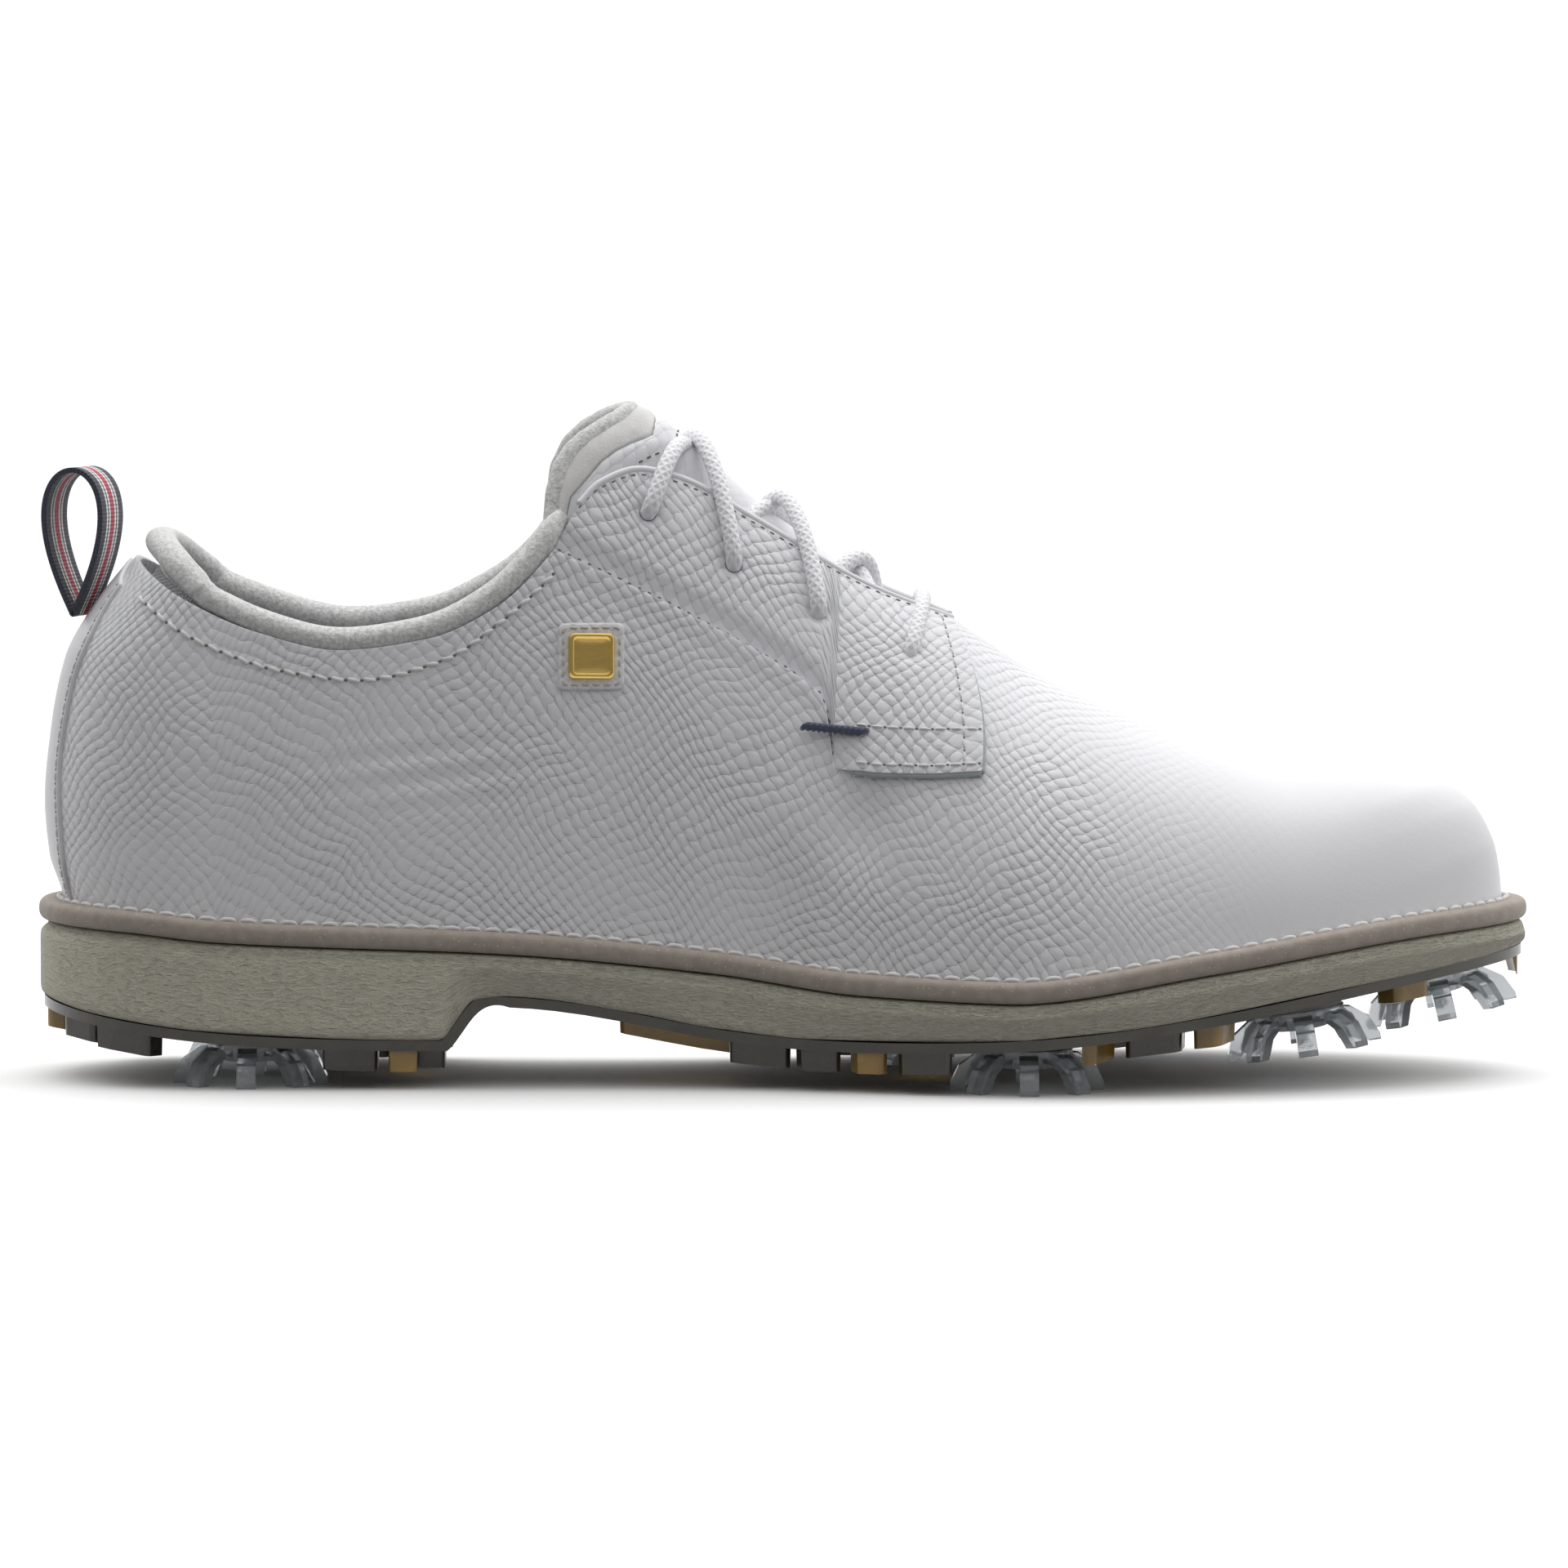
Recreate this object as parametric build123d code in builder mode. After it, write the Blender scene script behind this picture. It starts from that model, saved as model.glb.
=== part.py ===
from build123d import *
import os
from math import cos, pi, radians, sin, sqrt, tan

# Golf shoe for the right foot, in millimetres.
# +X runs from heel to toe, -Y is the outer (lateral) side, +Z is up.
# The origin lies under the middle of the sole, on the ground that the cleats touch.

# ---- driving dimensions -------------------------------------------------
HEEL_END = -143.2
TOE_END = 143.2
HEEL_AXIS = -108.0
HEEL_HALF_WIDTH = 34.0
TOE_SHIFT = 4.0
FEATHER_INSET = 4.5
WELT_THICK = 4.2
PLATE_THICK = 2.0
LUG_TALL = 4.0

LEATHER = 1.3
LINING = 0.7
BACKER = 0.6
COLLAR_PAD = 2.6
ROLL_PROUD = 0.5
INSOLE_THICK = 2.0
SOCKLINER_THICK = 4.5
LACE_DIAMETER = 3.2
EYELET_DIAMETER = 3.4
LOOP_WIDTH = 12.0
LOOP_THICK = 1.0

CLEAT_RADIUS = 14.6
CLEAT_LEGS = 8
CLEAT_HUB_RADIUS = 6.2
CLEAT_TOP = 7.8
STEM_RADIUS = 4.45
RUNNING_GAP = 0.05
BAYONET_RADIUS = 5.9
RECEPTACLE_RADIUS = 8.3
RECEPTACLE_TOP = 14.4

# Half widths of the sole from heel to its widest place, as (x, width)
LATERAL_PLAN = (
    (-108, 34), (-85, 34.3), (-60, 33.2), (-35, 32.3), (-10, 33.8), (15, 40.5), (45, 48.5))
MEDIAL_PLAN = (
    (-108, 34), (-85, 32.5), (-60, 29.5), (-35, 27.6), (-10, 28.8), (15, 35.5), (40, 45), (62, 48.5))

# Heights along the sole, as (x, z)
WELT_TOP = (
    (-145, 34.4), (-125, 33.7), (-106, 32), (-55, 29.9), (-14, 26.2), (14, 22.6),
    (42, 21.7), (81, 26.9), (124, 32.8), (145, 34))
HEEL_UNDERSIDE = ((-145, 16.4), (-131, 13.7), (-99, 10.3), (-64.8, 9.4))
BREAST = ((-64.8, 9.4), (-61.5, 13.5), (-58.5, 17), (-53, 17.6))
FORE_UNDERSIDE = (
    (-53, 17.6), (-28.6, 14.5), (-14, 11.8), (4, 10), (28, 10), (59, 12), (102.5, 18.8), (145, 25.4))

# The upper: height of its ridge line, its sideways place, and how round each section is
RIDGE = (
    (-141.2, 57), (-140, 66.7), (-137.5, 79.5), (-133, 88.5), (-125, 99), (-112, 118), (-95, 130),
    (-75, 138), (-52, 139), (-38, 134), (-23.5, 127), (0, 110.6), (30.6, 88.8), (50, 76.2),
    (72, 66.9), (100, 59), (119, 57.8), (126, 56.4), (132, 52.6), (136.6, 45), (138, 38.5),
)
RIDGE_SIDE = ((-142, 0), (-60, 0.5), (-12, 2.5), (60, 4), (138, 4))
ROUND_ACROSS = ((-142, 2.4), (-60, 2.4), (-12, 2), (60, 2.2), (100, 2.5), (138, 2.5))
ROUND_UP = ((-142, 2.5), (-60, 2.1), (-12, 1.8), (60, 2), (138, 2.2))
STATIONS = (
    -141.2, -140, -137.5, -133, -125, -112, -95, -75, -52, -38, -23.5, -8, 10, 30.6, 50, 72, 95,
    112, 125, 132, 136.6, 138)

# Top edge of the upper, seen from the side: collar, then the eyestay's edge down to the throat
COLLAR_LINE = (
    (-146, 118), (-125, 100.4), (-114.8, 93), (-99.5, 86.2), (-84, 82.9), (-67.4, 85),
    (-54.6, 90.8), (-43.6, 101.7), (-38.6, 110.4))
EYESTAY_EDGE = (
    (-38.6, 110.4), (-34.7, 114.5), (-27.6, 117), (-20.6, 115.6), (-5.3, 107.4),
    (20.4, 92), (30.6, 86), (34, 92))
ROLL_LINE = (
    (-133, 114), (-121, 106.6), (-112, 98.5), (-98.5, 90.6), (-84, 86.9), (-68.5, 89),
    (-57.5, 94.4), (-47.3, 103.9), (-42.2, 112.5))
QUARTER_EDGE = ((-43.6, 101.6), (-21.4, 91.1), (1, 78.8), (7, 74.2), (8.6, 69.5), (9.4, 61.4))
TAB_FRONT = ((37.2, 59.8), (36.5, 72), (34.5, 82), (31.5, 89.5))
HEEL_SEAM = ((-119, 104), (-130, 88), (-135.5, 74), (-137.8, 57), (-137.3, 44), (-134, 24))
EYELETS = ((-25.7, 108.6), (-9.4, 98.8), (6.7, 89.8), (23.7, 81.5))
MEDIAL_RISE = 2.5

# Cleat places: name, x, y, height of the feet above the ground, tilt with the sole
CLEATS = (
    ("heel_lateral", -101.7, -16.6, 0, 0),
    ("heel_medial", -101.7, 15.6, 0, 0),
    ("ball_lateral", 46, -30, 0, 0),
    ("ball_medial", 30, 24, 0, 0),
    ("fore_lateral", 99, -20.5, 6.6, 8.5),
    ("fore_medial", 84, 26, 4.8, 8.5),
    ("toe", 127, 4, 11.2, 12),
)


# ---- shape functions ----------------------------------------------------
def along(table, x):
    """Value at x of the smooth curve through a table of (x, value)."""
    if x <= table[0][0]:
        return table[0][1]
    if x >= table[-1][0]:
        return table[-1][1]
    i = max(k for k in range(len(table) - 1) if table[k][0] <= x)
    slopes = [(b[1] - a[1]) / (b[0] - a[0]) for a, b in zip(table, table[1:])]

    def tangent_at(k):
        if k == 0 or k == len(slopes):
            return slopes[min(k, len(slopes) - 1)]
        before, after = slopes[k - 1], slopes[k]
        return 0.0 if before * after <= 0 else 2 * before * after / (before + after)

    (x0, y0), (x1, y1) = table[i], table[i + 1]
    span = x1 - x0
    t = (x - x0) / span
    rise = (2 * t**3 - 3 * t**2 + 1) * y0 + (3 * t**2 - 2 * t**3) * y1
    lean = (t**3 - 2 * t**2 + t) * tangent_at(i) + (t**3 - t**2) * tangent_at(i + 1)
    return rise + span * lean


def arc_share(part, roundness):
    """Height of a superellipse quarter at a share of its length."""
    return max(0.0, 1 - min(1.0, part) ** roundness) ** (1 / roundness)


def plan_edge(x, side, inset=0.0):
    """Sole outline: y at x on one side (-1 lateral, 1 medial)."""
    table = LATERAL_PLAN if side < 0 else MEDIAL_PLAN
    widest_x, widest = table[-1]
    if x < HEEL_AXIS:
        reach = HEEL_AXIS - HEEL_END - inset
        return side * (HEEL_HALF_WIDTH - inset) * arc_share((HEEL_AXIS - x) / reach, 2.1)
    if x > widest_x:
        reach = TOE_END - inset - widest_x
        roundness = 1.85 if side < 0 else 2.1
        half = widest - side * TOE_SHIFT - inset
        return TOE_SHIFT + side * half * arc_share((x - widest_x) / reach, roundness)
    return side * (along(table, x) - inset)


def plan_points(inset):
    """Points round the sole outline, closer together where it turns."""
    heel = [HEEL_AXIS - (HEEL_AXIS - HEEL_END - inset) * sin(radians(a)) for a in (90, 75, 55, 35, 15)]
    points = {}
    for side in (-1, 1):
        table = LATERAL_PLAN if side < 0 else MEDIAL_PLAN
        reach = TOE_END - inset - table[-1][0]
        toe = [table[-1][0] + reach * sin(radians(a)) for a in (14, 28, 42, 56, 70, 81, 90)]
        xs = heel + [x for x, _ in table[1:]] + toe
        points[side] = [(x, plan_edge(x, side, inset)) for x in xs]
    return points[-1] + points[1][-2:0:-1]


def sole_plan(inset):
    """Closed outline sketch of the sole."""
    with BuildSketch() as plan:
        with BuildLine():
            Spline(*plan_points(inset), periodic=True)
        make_face()
    return plan.sketch


def welt_low(x):
    return along(WELT_TOP, x) - WELT_THICK


def welt_points(lift):
    return [(x, z + lift) for x, z in WELT_TOP]


def side_band(low, high):
    """Side view sketch of the band between two lines of points."""
    with BuildSketch() as band:
        with BuildLine():
            upper = Spline(*high)
            lower = Spline(*low)
            Line(upper @ 0, lower @ 0)
            Line(upper @ 1, lower @ 1)
        make_face()
    return band.sketch


def underside_band(drop_high, drop_low):
    """Side view sketch of a layer that follows the sole's underside round the heel breast."""
    with BuildSketch() as band:
        with BuildLine():
            for drop in (drop_high, drop_low):
                for run in (HEEL_UNDERSIDE, BREAST, FORE_UNDERSIDE):
                    Spline(*[(x + 0.6 * drop * (-65 < x < -52), z - drop) for x, z in run])
            for end in (HEEL_UNDERSIDE[0], FORE_UNDERSIDE[-1]):
                Line((end[0], end[1] - drop_high), (end[0], end[1] - drop_low))
        make_face()
    return band.sketch


def sole_body():
    """Side view sketch from under the welt to the underside."""
    with BuildSketch() as body:
        with BuildLine():
            top = Spline(*welt_points(-WELT_THICK))
            for run in (HEEL_UNDERSIDE, BREAST, FORE_UNDERSIDE):
                Spline(*run)
            Line(top @ 0, HEEL_UNDERSIDE[0])
            Line(top @ 1, FORE_UNDERSIDE[-1])
        make_face()
    return body.sketch


def section_half(x, side):
    """Half width of the upper's outside at x, from its ridge line."""
    y = plan_edge(max(-137.9, min(137.9, x)), side, FEATHER_INSET)
    if x < -137.9:
        y = y * (141.6 - abs(x)) / 3.7
    return abs(y - along(RIDGE_SIDE, x))


def section_foot(x):
    """Height where the upper's section starts."""
    if x < -137.9:
        return welt_low(x) + (abs(x) - 137.9) * 6.5
    return welt_low(x) - 3


def section_height(x, y, lift=0.0):
    """Height of the upper's outside at x, y."""
    ridge = along(RIDGE_SIDE, x)
    side = -1 if y < ridge else 1
    share = min(1.0, abs(y - ridge) / section_half(x, side)) ** along(ROUND_ACROSS, x)
    foot = section_foot(x)
    return foot + (along(RIDGE, x) + lift - foot) * (1 - share) ** (1 / along(ROUND_UP, x))


def section_reach(x, z, side):
    """y of the upper's outside at x and height z on one side."""
    foot = section_foot(x)
    share = (z - foot) / (along(RIDGE, x) - foot)
    half = section_half(x, side) * (1 - share ** along(ROUND_UP, x)) ** (1 / along(ROUND_ACROSS, x))
    return along(RIDGE_SIDE, x) + side * half


def surface_point(x, y, lift):
    """Point at a distance from the upper's outside, along its normal."""
    step = 0.4
    z = section_height(x, y)
    slope_x = (section_height(x + step, y) - section_height(x - step, y)) / (2 * step)
    slope_y = (section_height(x, y + step) - section_height(x, y - step)) / (2 * step)
    size = sqrt(1 + slope_x**2 + slope_y**2)
    return (x - lift * slope_x / size, y - lift * slope_y / size, z + lift / size)


def padded_depth(x, z, depth, pad):
    """Depth of an inner face, deeper where the collar is padded."""
    rear = max(0.0, min(1.0, (-38 - x) / 14))
    high = max(0.0, min(1.0, (z - 58) / 14))
    return depth + pad * rear * high


def upper_form(depth, crest_depth=None, pad=0.0):
    """Solid inside the upper's outer surface, set in by a depth; crest_depth is a table along x."""
    shrink = (TOE_END - FEATHER_INSET - depth) / (TOE_END - FEATHER_INSET)
    steps = 7
    shared = [k / (2 * steps) for k in range(2 * steps + 1)]
    with BuildPart() as form:
        for x in STATIONS:
            ridge, foot = along(RIDGE_SIDE, x), section_foot(x) - (2 if depth > 0 else 0)
            crest = depth if crest_depth is None else along(crest_depth, x)
            tall = along(RIDGE, x) - crest - foot
            points = []
            for side in (-1, 1):
                half = section_half(x, side)
                across, up = 2 / along(ROUND_ACROSS, x), 2 / along(ROUND_UP, x)
                arc = []
                for k in range(steps + 1):
                    turn = radians(90 * k / steps)
                    z = foot + tall * sin(turn) ** up
                    inset = padded_depth(x, z, depth, pad) * min(1.0, half / 30)
                    arc.append((ridge + side * (half - inset) * max(0.0, cos(turn)) ** across, z))
                points.append(arc)
            outline = points[0] + points[1][-2::-1]
            plane = Plane(origin=(x * shrink, 0, 0), x_dir=(0, 1, 0), z_dir=(1, 0, 0))
            with BuildSketch(plane):
                with BuildLine():
                    add(Edge.make_spline(outline, parameters=shared))
                    Line(outline[-1], outline[0])
                make_face()
        loft()
    return form.part


def topline_region(lift, front=TOE_END + 10):
    """Side view sketch of everything under the shoe's top edge."""
    low = -10
    with BuildSketch() as region:
        with BuildLine():
            collar = Spline(*[(x, z + lift) for x, z in COLLAR_LINE])
            stay = Spline(*[(x, z + lift) for x, z in EYESTAY_EDGE])
            Polyline(stay @ 1, (front, 92 + lift), (front, low), (-146, low), collar @ 0)
        make_face()
    return region.sketch


def box_region(x_low, x_high, z_low, z_high):
    """Side view rectangle."""
    with BuildSketch() as region:
        with Locations(((x_low + x_high) / 2, (z_low + z_high) / 2)):
            Rectangle(x_high - x_low, z_high - z_low)
    return region.sketch


def eyestay_region():
    """Side view sketch of an eyestay and its tab."""
    with BuildSketch() as region:
        with BuildLine():
            edge = Spline(*QUARTER_EDGE)
            front = Spline(*TAB_FRONT)
            Line(edge @ 1, front @ 0)
            Polyline(front @ 1, (31.5, 140), (-43.6, 140), edge @ 0)
        make_face()
    return region.sketch


SIDE = Plane.XZ
OUTER = upper_form(0)
INNER_LEATHER = upper_form(LEATHER)
INNER_BACKER = upper_form(LEATHER + BACKER, pad=COLLAR_PAD)
INNER_LINING = upper_form(LEATHER + BACKER + LINING, pad=COLLAR_PAD)
ROLL_OUTER = upper_form(-ROLL_PROUD)
WIDE = 70


# ---- sole ---------------------------------------------------------------
def cleat_plane(x, y, z, tilt):
    """Plane of a cleat's feet; its normal points up into the sole."""
    lean = radians(tilt)
    return Plane(origin=(x, y, z), x_dir=(cos(lean), 0, sin(lean)), z_dir=(-sin(lean), 0, cos(lean)))


CLEAT_PLANES = {name: cleat_plane(x, y, z, tilt) for name, x, y, z, tilt in CLEATS}
SHANK_STATIONS = (-72, -40, 0)
SHANK_HALF_WIDTH = 6.9
SHANK_SLOT = 2.0


def shank_band(low, high):
    """Side view sketch of a band under the waist, between two heights over the welt's underside."""
    lines = [[(x, welt_low(x) + rise) for x in SHANK_STATIONS] for rise in (low, high)]
    return side_band(*lines)


with BuildPart() as receptacle_pockets:
    for plane in CLEAT_PLANES.values():
        with BuildSketch(plane.offset(CLEAT_TOP - 3)):
            Circle(RECEPTACLE_RADIUS)
        extrude(amount=RECEPTACLE_TOP - CLEAT_TOP + 3)

with BuildPart() as midsole:
    with BuildSketch(Plane.XY):
        add(sole_plan(0.3))
    extrude(amount=60)
    with BuildSketch(SIDE):
        add(sole_body())
    extrude(amount=WIDE, both=True, mode=Mode.INTERSECT)
    with BuildSketch(SIDE):
        add(shank_band(-SHANK_SLOT, 1))
    extrude(amount=SHANK_HALF_WIDTH + 0.1, both=True, mode=Mode.SUBTRACT)
    add(receptacle_pockets.part, mode=Mode.SUBTRACT)

with BuildPart() as shank:
    with BuildSketch(SIDE):
        add(shank_band(0.2 - SHANK_SLOT, -0.3))
    extrude(amount=SHANK_HALF_WIDTH, both=True)

with BuildPart() as welt:
    with BuildSketch(Plane.XY):
        add(sole_plan(0))
    extrude(amount=60)
    with BuildSketch(SIDE):
        add(side_band(welt_points(-WELT_THICK), welt_points(0)))
    extrude(amount=WIDE, both=True, mode=Mode.INTERSECT)
    add(OUTER, mode=Mode.SUBTRACT)

with BuildPart() as outsole:
    with BuildSketch(Plane.XY):
        add(sole_plan(1.0))
    extrude(amount=60)
    with BuildSketch(SIDE):
        add(underside_band(0, PLATE_THICK))
    extrude(amount=WIDE, both=True, mode=Mode.INTERSECT)
    add(receptacle_pockets.part, mode=Mode.SUBTRACT)


def tread_blocks(blocks):
    """Tread blocks cut to the sole's underside; each is (x, y, length, width, turn)."""
    with BuildPart() as tread:
        with BuildSketch(Plane.XY):
            for x, y, long, wide, turn in blocks:
                with Locations(Location((x, y), turn)):
                    RectangleRounded(long, wide, 1.2)
        extrude(amount=60, taper=-2)
        with BuildSketch(Plane.XY):
            add(sole_plan(1.6))
        extrude(amount=60, mode=Mode.INTERSECT)
        with BuildSketch(SIDE):
            add(underside_band(PLATE_THICK, PLATE_THICK + LUG_TALL))
        extrude(amount=WIDE, both=True, mode=Mode.INTERSECT)
        for plane in CLEAT_PLANES.values():
            with BuildSketch(plane.offset(-2)):
                Circle(CLEAT_RADIUS + 1.2)
            extrude(amount=20, mode=Mode.SUBTRACT)
    return tread.part


DARK_BLOCKS = (
    (-132, -14, 8, 7, -40), (-124, -25, 11, 6, -25), (-132, 14, 8, 7, 40), (-124, 25, 11, 6, 25),
    (-82, -27, 10, 9, 0), (-82, 26, 10, 9, 0), (-67.5, -20, 6, 9, 0), (-67.5, 18, 6, 9, 0),
    (-80, 0, 8, 12, 0), (-4.5, -28, 11, 8, 0), (6.5, -32, 7, 8, 10), (26.5, -41, 8, 8, 20),
    (-5, 22, 10, 8, 0), (6, 27, 7, 8, -10), (50, 40, 12, 8, -10), (62, 0, 11, 9, 25),
    (70, -34, 10, 9, -8), (66, -14, 10, 7, 0), (89, 2, 11, 8, 15), (107, 8, 10, 8, 0),
    (47, 0, 9, 9, 0), (12, 0, 11, 9, 0), (-5, -3, 9, 8, 0), (63, 22, 10, 8, 20), (108, 26, 9, 7, -30),
)
GOLD_BLOCKS = (
    (-139, 0, 4, 12, 0), (-70.5, -2, 6, 10, 0), (-72, -29.5, 5, 6, 0), (-72, 28, 5, 6, 0),
    (16, -36, 5, 8, 15), (37, -43.5, 6, 6, 0), (16.5, 33, 6, 7, -15), (58, -38, 5, 9, -30),
    (81, -36, 5, 8, -25), (64, 43, 6, 7, -20), (75.5, 6, 6, 9, 20), (28, -8, 9, 8, 0),
    (118, -14, 7, 6, 30), (116.6, 21.6, 6, 7, -30), (139.5, 5, 4, 9, 0), (76, 42, 7, 5, 10), (97, 33, 7, 6, -15),
)
ARCH_BAR = (-20, -12, 22, 4, 0)

lugs_dark = tread_blocks(DARK_BLOCKS)
lugs_gold = tread_blocks(GOLD_BLOCKS + (ARCH_BAR,))

# ---- cleats -------------------------------------------------------------
LEG_PROFILE = (
    (5.0, 7.6), (9.6, 7.0), (13.0, 4.6), (14.6, 1.2), (14.6, 0),
    (12.2, 0), (11.4, 1.4), (10.2, 3.6), (7.8, 5.2), (5.0, 5.4))
LEG_WIDTH = 3.6
BAYONET_LOW = 10.2
BAYONET_HIGH = 12.4
LIP_HIGH = 10.1
RECESS_HIGH = 12.6

with BuildPart() as cleat_shape:
    with BuildSketch(Plane.XY.offset(4.2)):
        Circle(CLEAT_HUB_RADIUS)
    extrude(amount=CLEAT_TOP - 4.2)
    chamfer(cleat_shape.edges().filter_by(GeomType.CIRCLE).sort_by(Axis.Z)[0], 1.2)
    with BuildSketch(Plane.XY.offset(CLEAT_TOP - 1.2)):
        Circle(8.6)
    extrude(amount=1.2)
    for k in range(CLEAT_LEGS):
        spin = 360 * k / CLEAT_LEGS
        with BuildSketch(Plane.XZ.rotated((0, 0, spin))):
            with BuildLine():
                Polyline(*LEG_PROFILE, close=True)
            make_face()
        extrude(amount=LEG_WIDTH / 2, both=True)
    with BuildSketch(Plane.XY.offset(CLEAT_TOP)):
        Circle(STEM_RADIUS)
    extrude(amount=BAYONET_HIGH + 0.1 - CLEAT_TOP)
    with BuildSketch(Plane.XY.offset(BAYONET_LOW)):
        with PolarLocations(0, 3):
            with Locations((STEM_RADIUS, 0)):
                Rectangle(2 * (BAYONET_RADIUS - STEM_RADIUS), 3)
    extrude(amount=BAYONET_HIGH - BAYONET_LOW)
    with BuildSketch(Plane.XY.offset(4.2)):
        with PolarLocations(3.6, 3):
            Circle(0.9)
    extrude(amount=2, mode=Mode.SUBTRACT)

with BuildPart() as receptacle_shape:
    with BuildSketch(Plane.XY.offset(CLEAT_TOP + 0.1)):
        Circle(RECEPTACLE_RADIUS - 0.02)
        Circle(STEM_RADIUS + RUNNING_GAP, mode=Mode.SUBTRACT)
        with PolarLocations(0, 3, start_angle=60):
            with Locations((STEM_RADIUS, 0)):
                Rectangle(2 * (BAYONET_RADIUS - STEM_RADIUS) + 0.6, 3.4, mode=Mode.SUBTRACT)
    extrude(amount=LIP_HIGH - CLEAT_TOP - 0.1)
    with BuildSketch(Plane.XY.offset(LIP_HIGH)):
        Circle(RECEPTACLE_RADIUS - 0.02)
        Circle(BAYONET_RADIUS + 0.6, mode=Mode.SUBTRACT)
    extrude(amount=RECESS_HIGH - LIP_HIGH)
    with BuildSketch(Plane.XY.offset(RECESS_HIGH)):
        Circle(RECEPTACLE_RADIUS - 0.02)
    extrude(amount=RECEPTACLE_TOP - RECESS_HIGH - 0.02)

# ---- foot bed -----------------------------------------------------------
with BuildPart() as insole_board:
    add(INNER_LINING)
    with BuildSketch(SIDE):
        add(side_band(welt_points(-WELT_THICK), welt_points(INSOLE_THICK - WELT_THICK)))
    extrude(amount=WIDE, both=True, mode=Mode.INTERSECT)

with BuildPart() as sockliner:
    add(INNER_LINING)
    with BuildSketch(SIDE):
        bed_low = INSOLE_THICK - WELT_THICK
        add(side_band(welt_points(bed_low), welt_points(bed_low + SOCKLINER_THICK)))
    extrude(amount=WIDE, both=True, mode=Mode.INTERSECT)

# ---- upper --------------------------------------------------------------
ABOVE_FEATHER = side_band(welt_points(-WELT_THICK), ((-145, 160), (0, 160), (145, 160)))
TONGUE_DEPTH = 14.0
TONGUE_CREST = ((-52, 1.5), (-38, 3), (-24, 8.2), (-8, 9), (10, 7.6), (30, 6.8))
TONGUE_LEATHER = 1.1
TONGUE_FOAM = 3.0
TONGUE_LINING = 0.8
TONGUE_BASE = (35.0, 77.5)
TONGUE_TOP = (
    (-45, 100), (-45.4, 107), (-44.3, 114.6), (-40.8, 121), (-34.5, 127), (-29.5, 129.2), (-22, 130.5))
TONGUE_PLAN = ((34, -9), (34, 19), (-24, 25), (-60, 27), (-60, -20), (-24, -17))
TRIM_LINE = ((-21, 132), (-21.2, 124), (-35.3, 115.5), (-52, 101))


def sheet_between(outer, inner, lift=0.0):
    """Layer between two forms, trimmed to the shoe's top edge and its feather line."""
    with BuildPart() as layer:
        add(outer)
        add(inner, mode=Mode.SUBTRACT)
        with BuildSketch(SIDE):
            add(topline_region(lift))
        extrude(amount=WIDE, both=True, mode=Mode.INTERSECT)
        with BuildSketch(SIDE):
            add(ABOVE_FEATHER)
        extrude(amount=WIDE, both=True, mode=Mode.INTERSECT)
    return layer.part


def slab(region):
    """A side view region carried through the whole width."""
    with BuildPart() as block:
        with BuildSketch(SIDE):
            add(region)
        extrude(amount=WIDE, both=True)
    return block.part


def heel_strip_region():
    """Side view sketch behind the heel strip's seam."""
    with BuildSketch() as region:
        with BuildLine():
            seam = Spline(*HEEL_SEAM)
            Polyline(seam @ 1, (-146, 24), (-146, 125), (-119, 125), seam @ 0)
        make_face()
    return region.sketch


def roll_region():
    """Side view sketch of the knit roll along the collar."""
    with BuildSketch() as region:
        with BuildLine():
            low = Spline(*COLLAR_LINE)
            high = Spline(*ROLL_LINE)
            Line(low @ 0, high @ 0)
            Line(low @ 1, high @ 1)
        make_face()
    return region.sketch


def tongue_region():
    """Side view sketch of the tongue."""
    with BuildSketch() as region:
        with BuildLine():
            top = Spline(*TONGUE_TOP)
            hinge_x = TONGUE_BASE[0] - 2
            Polyline(top @ 1, (hinge_x, 96), (hinge_x, 64), (-30, 86), top @ 0)
        make_face()
    return region.sketch


def trim_region():
    """Side view sketch of the tongue's suede top."""
    with BuildSketch() as region:
        with BuildLine():
            Polyline(*TRIM_LINE, (-60, 101), (-60, 132), close=True)
        make_face()
    return region.sketch


LEATHER_SHELL = sheet_between(OUTER, INNER_LEATHER)
BACKER_SHELL = sheet_between(INNER_LEATHER, INNER_BACKER)
STAY_BLOCK = slab(eyestay_region())
STRIP_BLOCK = slab(heel_strip_region())

with BuildPart() as heel_strip:
    add(LEATHER_SHELL)
    add(STRIP_BLOCK, mode=Mode.INTERSECT)

with BuildPart() as vamp_and_quarters:
    add(LEATHER_SHELL)
    add(STRIP_BLOCK, mode=Mode.SUBTRACT)
    add(STAY_BLOCK, mode=Mode.SUBTRACT)

with BuildPart() as collar_foam:
    add(BACKER_SHELL)
    with BuildSketch(SIDE):
        add(topline_region(-20))
    extrude(amount=WIDE, both=True, mode=Mode.SUBTRACT)
    with BuildSketch(SIDE):
        add(box_region(-134, -48, 62, 130))
    extrude(amount=WIDE, both=True, mode=Mode.INTERSECT)

with BuildPart() as heel_counter:
    add(BACKER_SHELL)
    with BuildSketch(SIDE):
        with BuildLine():
            Polyline((-146, 0), (-88, 0), (-92, 44), (-104, 57), (-146, 57), close=True)
        make_face()
    extrude(amount=WIDE, both=True, mode=Mode.INTERSECT)

with BuildPart() as toe_puff:
    add(BACKER_SHELL)
    with BuildSketch(SIDE):
        with BuildLine():
            Polyline((150, 0), (108, 0), (98, 80), (150, 80), close=True)
        make_face()
    extrude(amount=WIDE, both=True, mode=Mode.INTERSECT)

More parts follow.
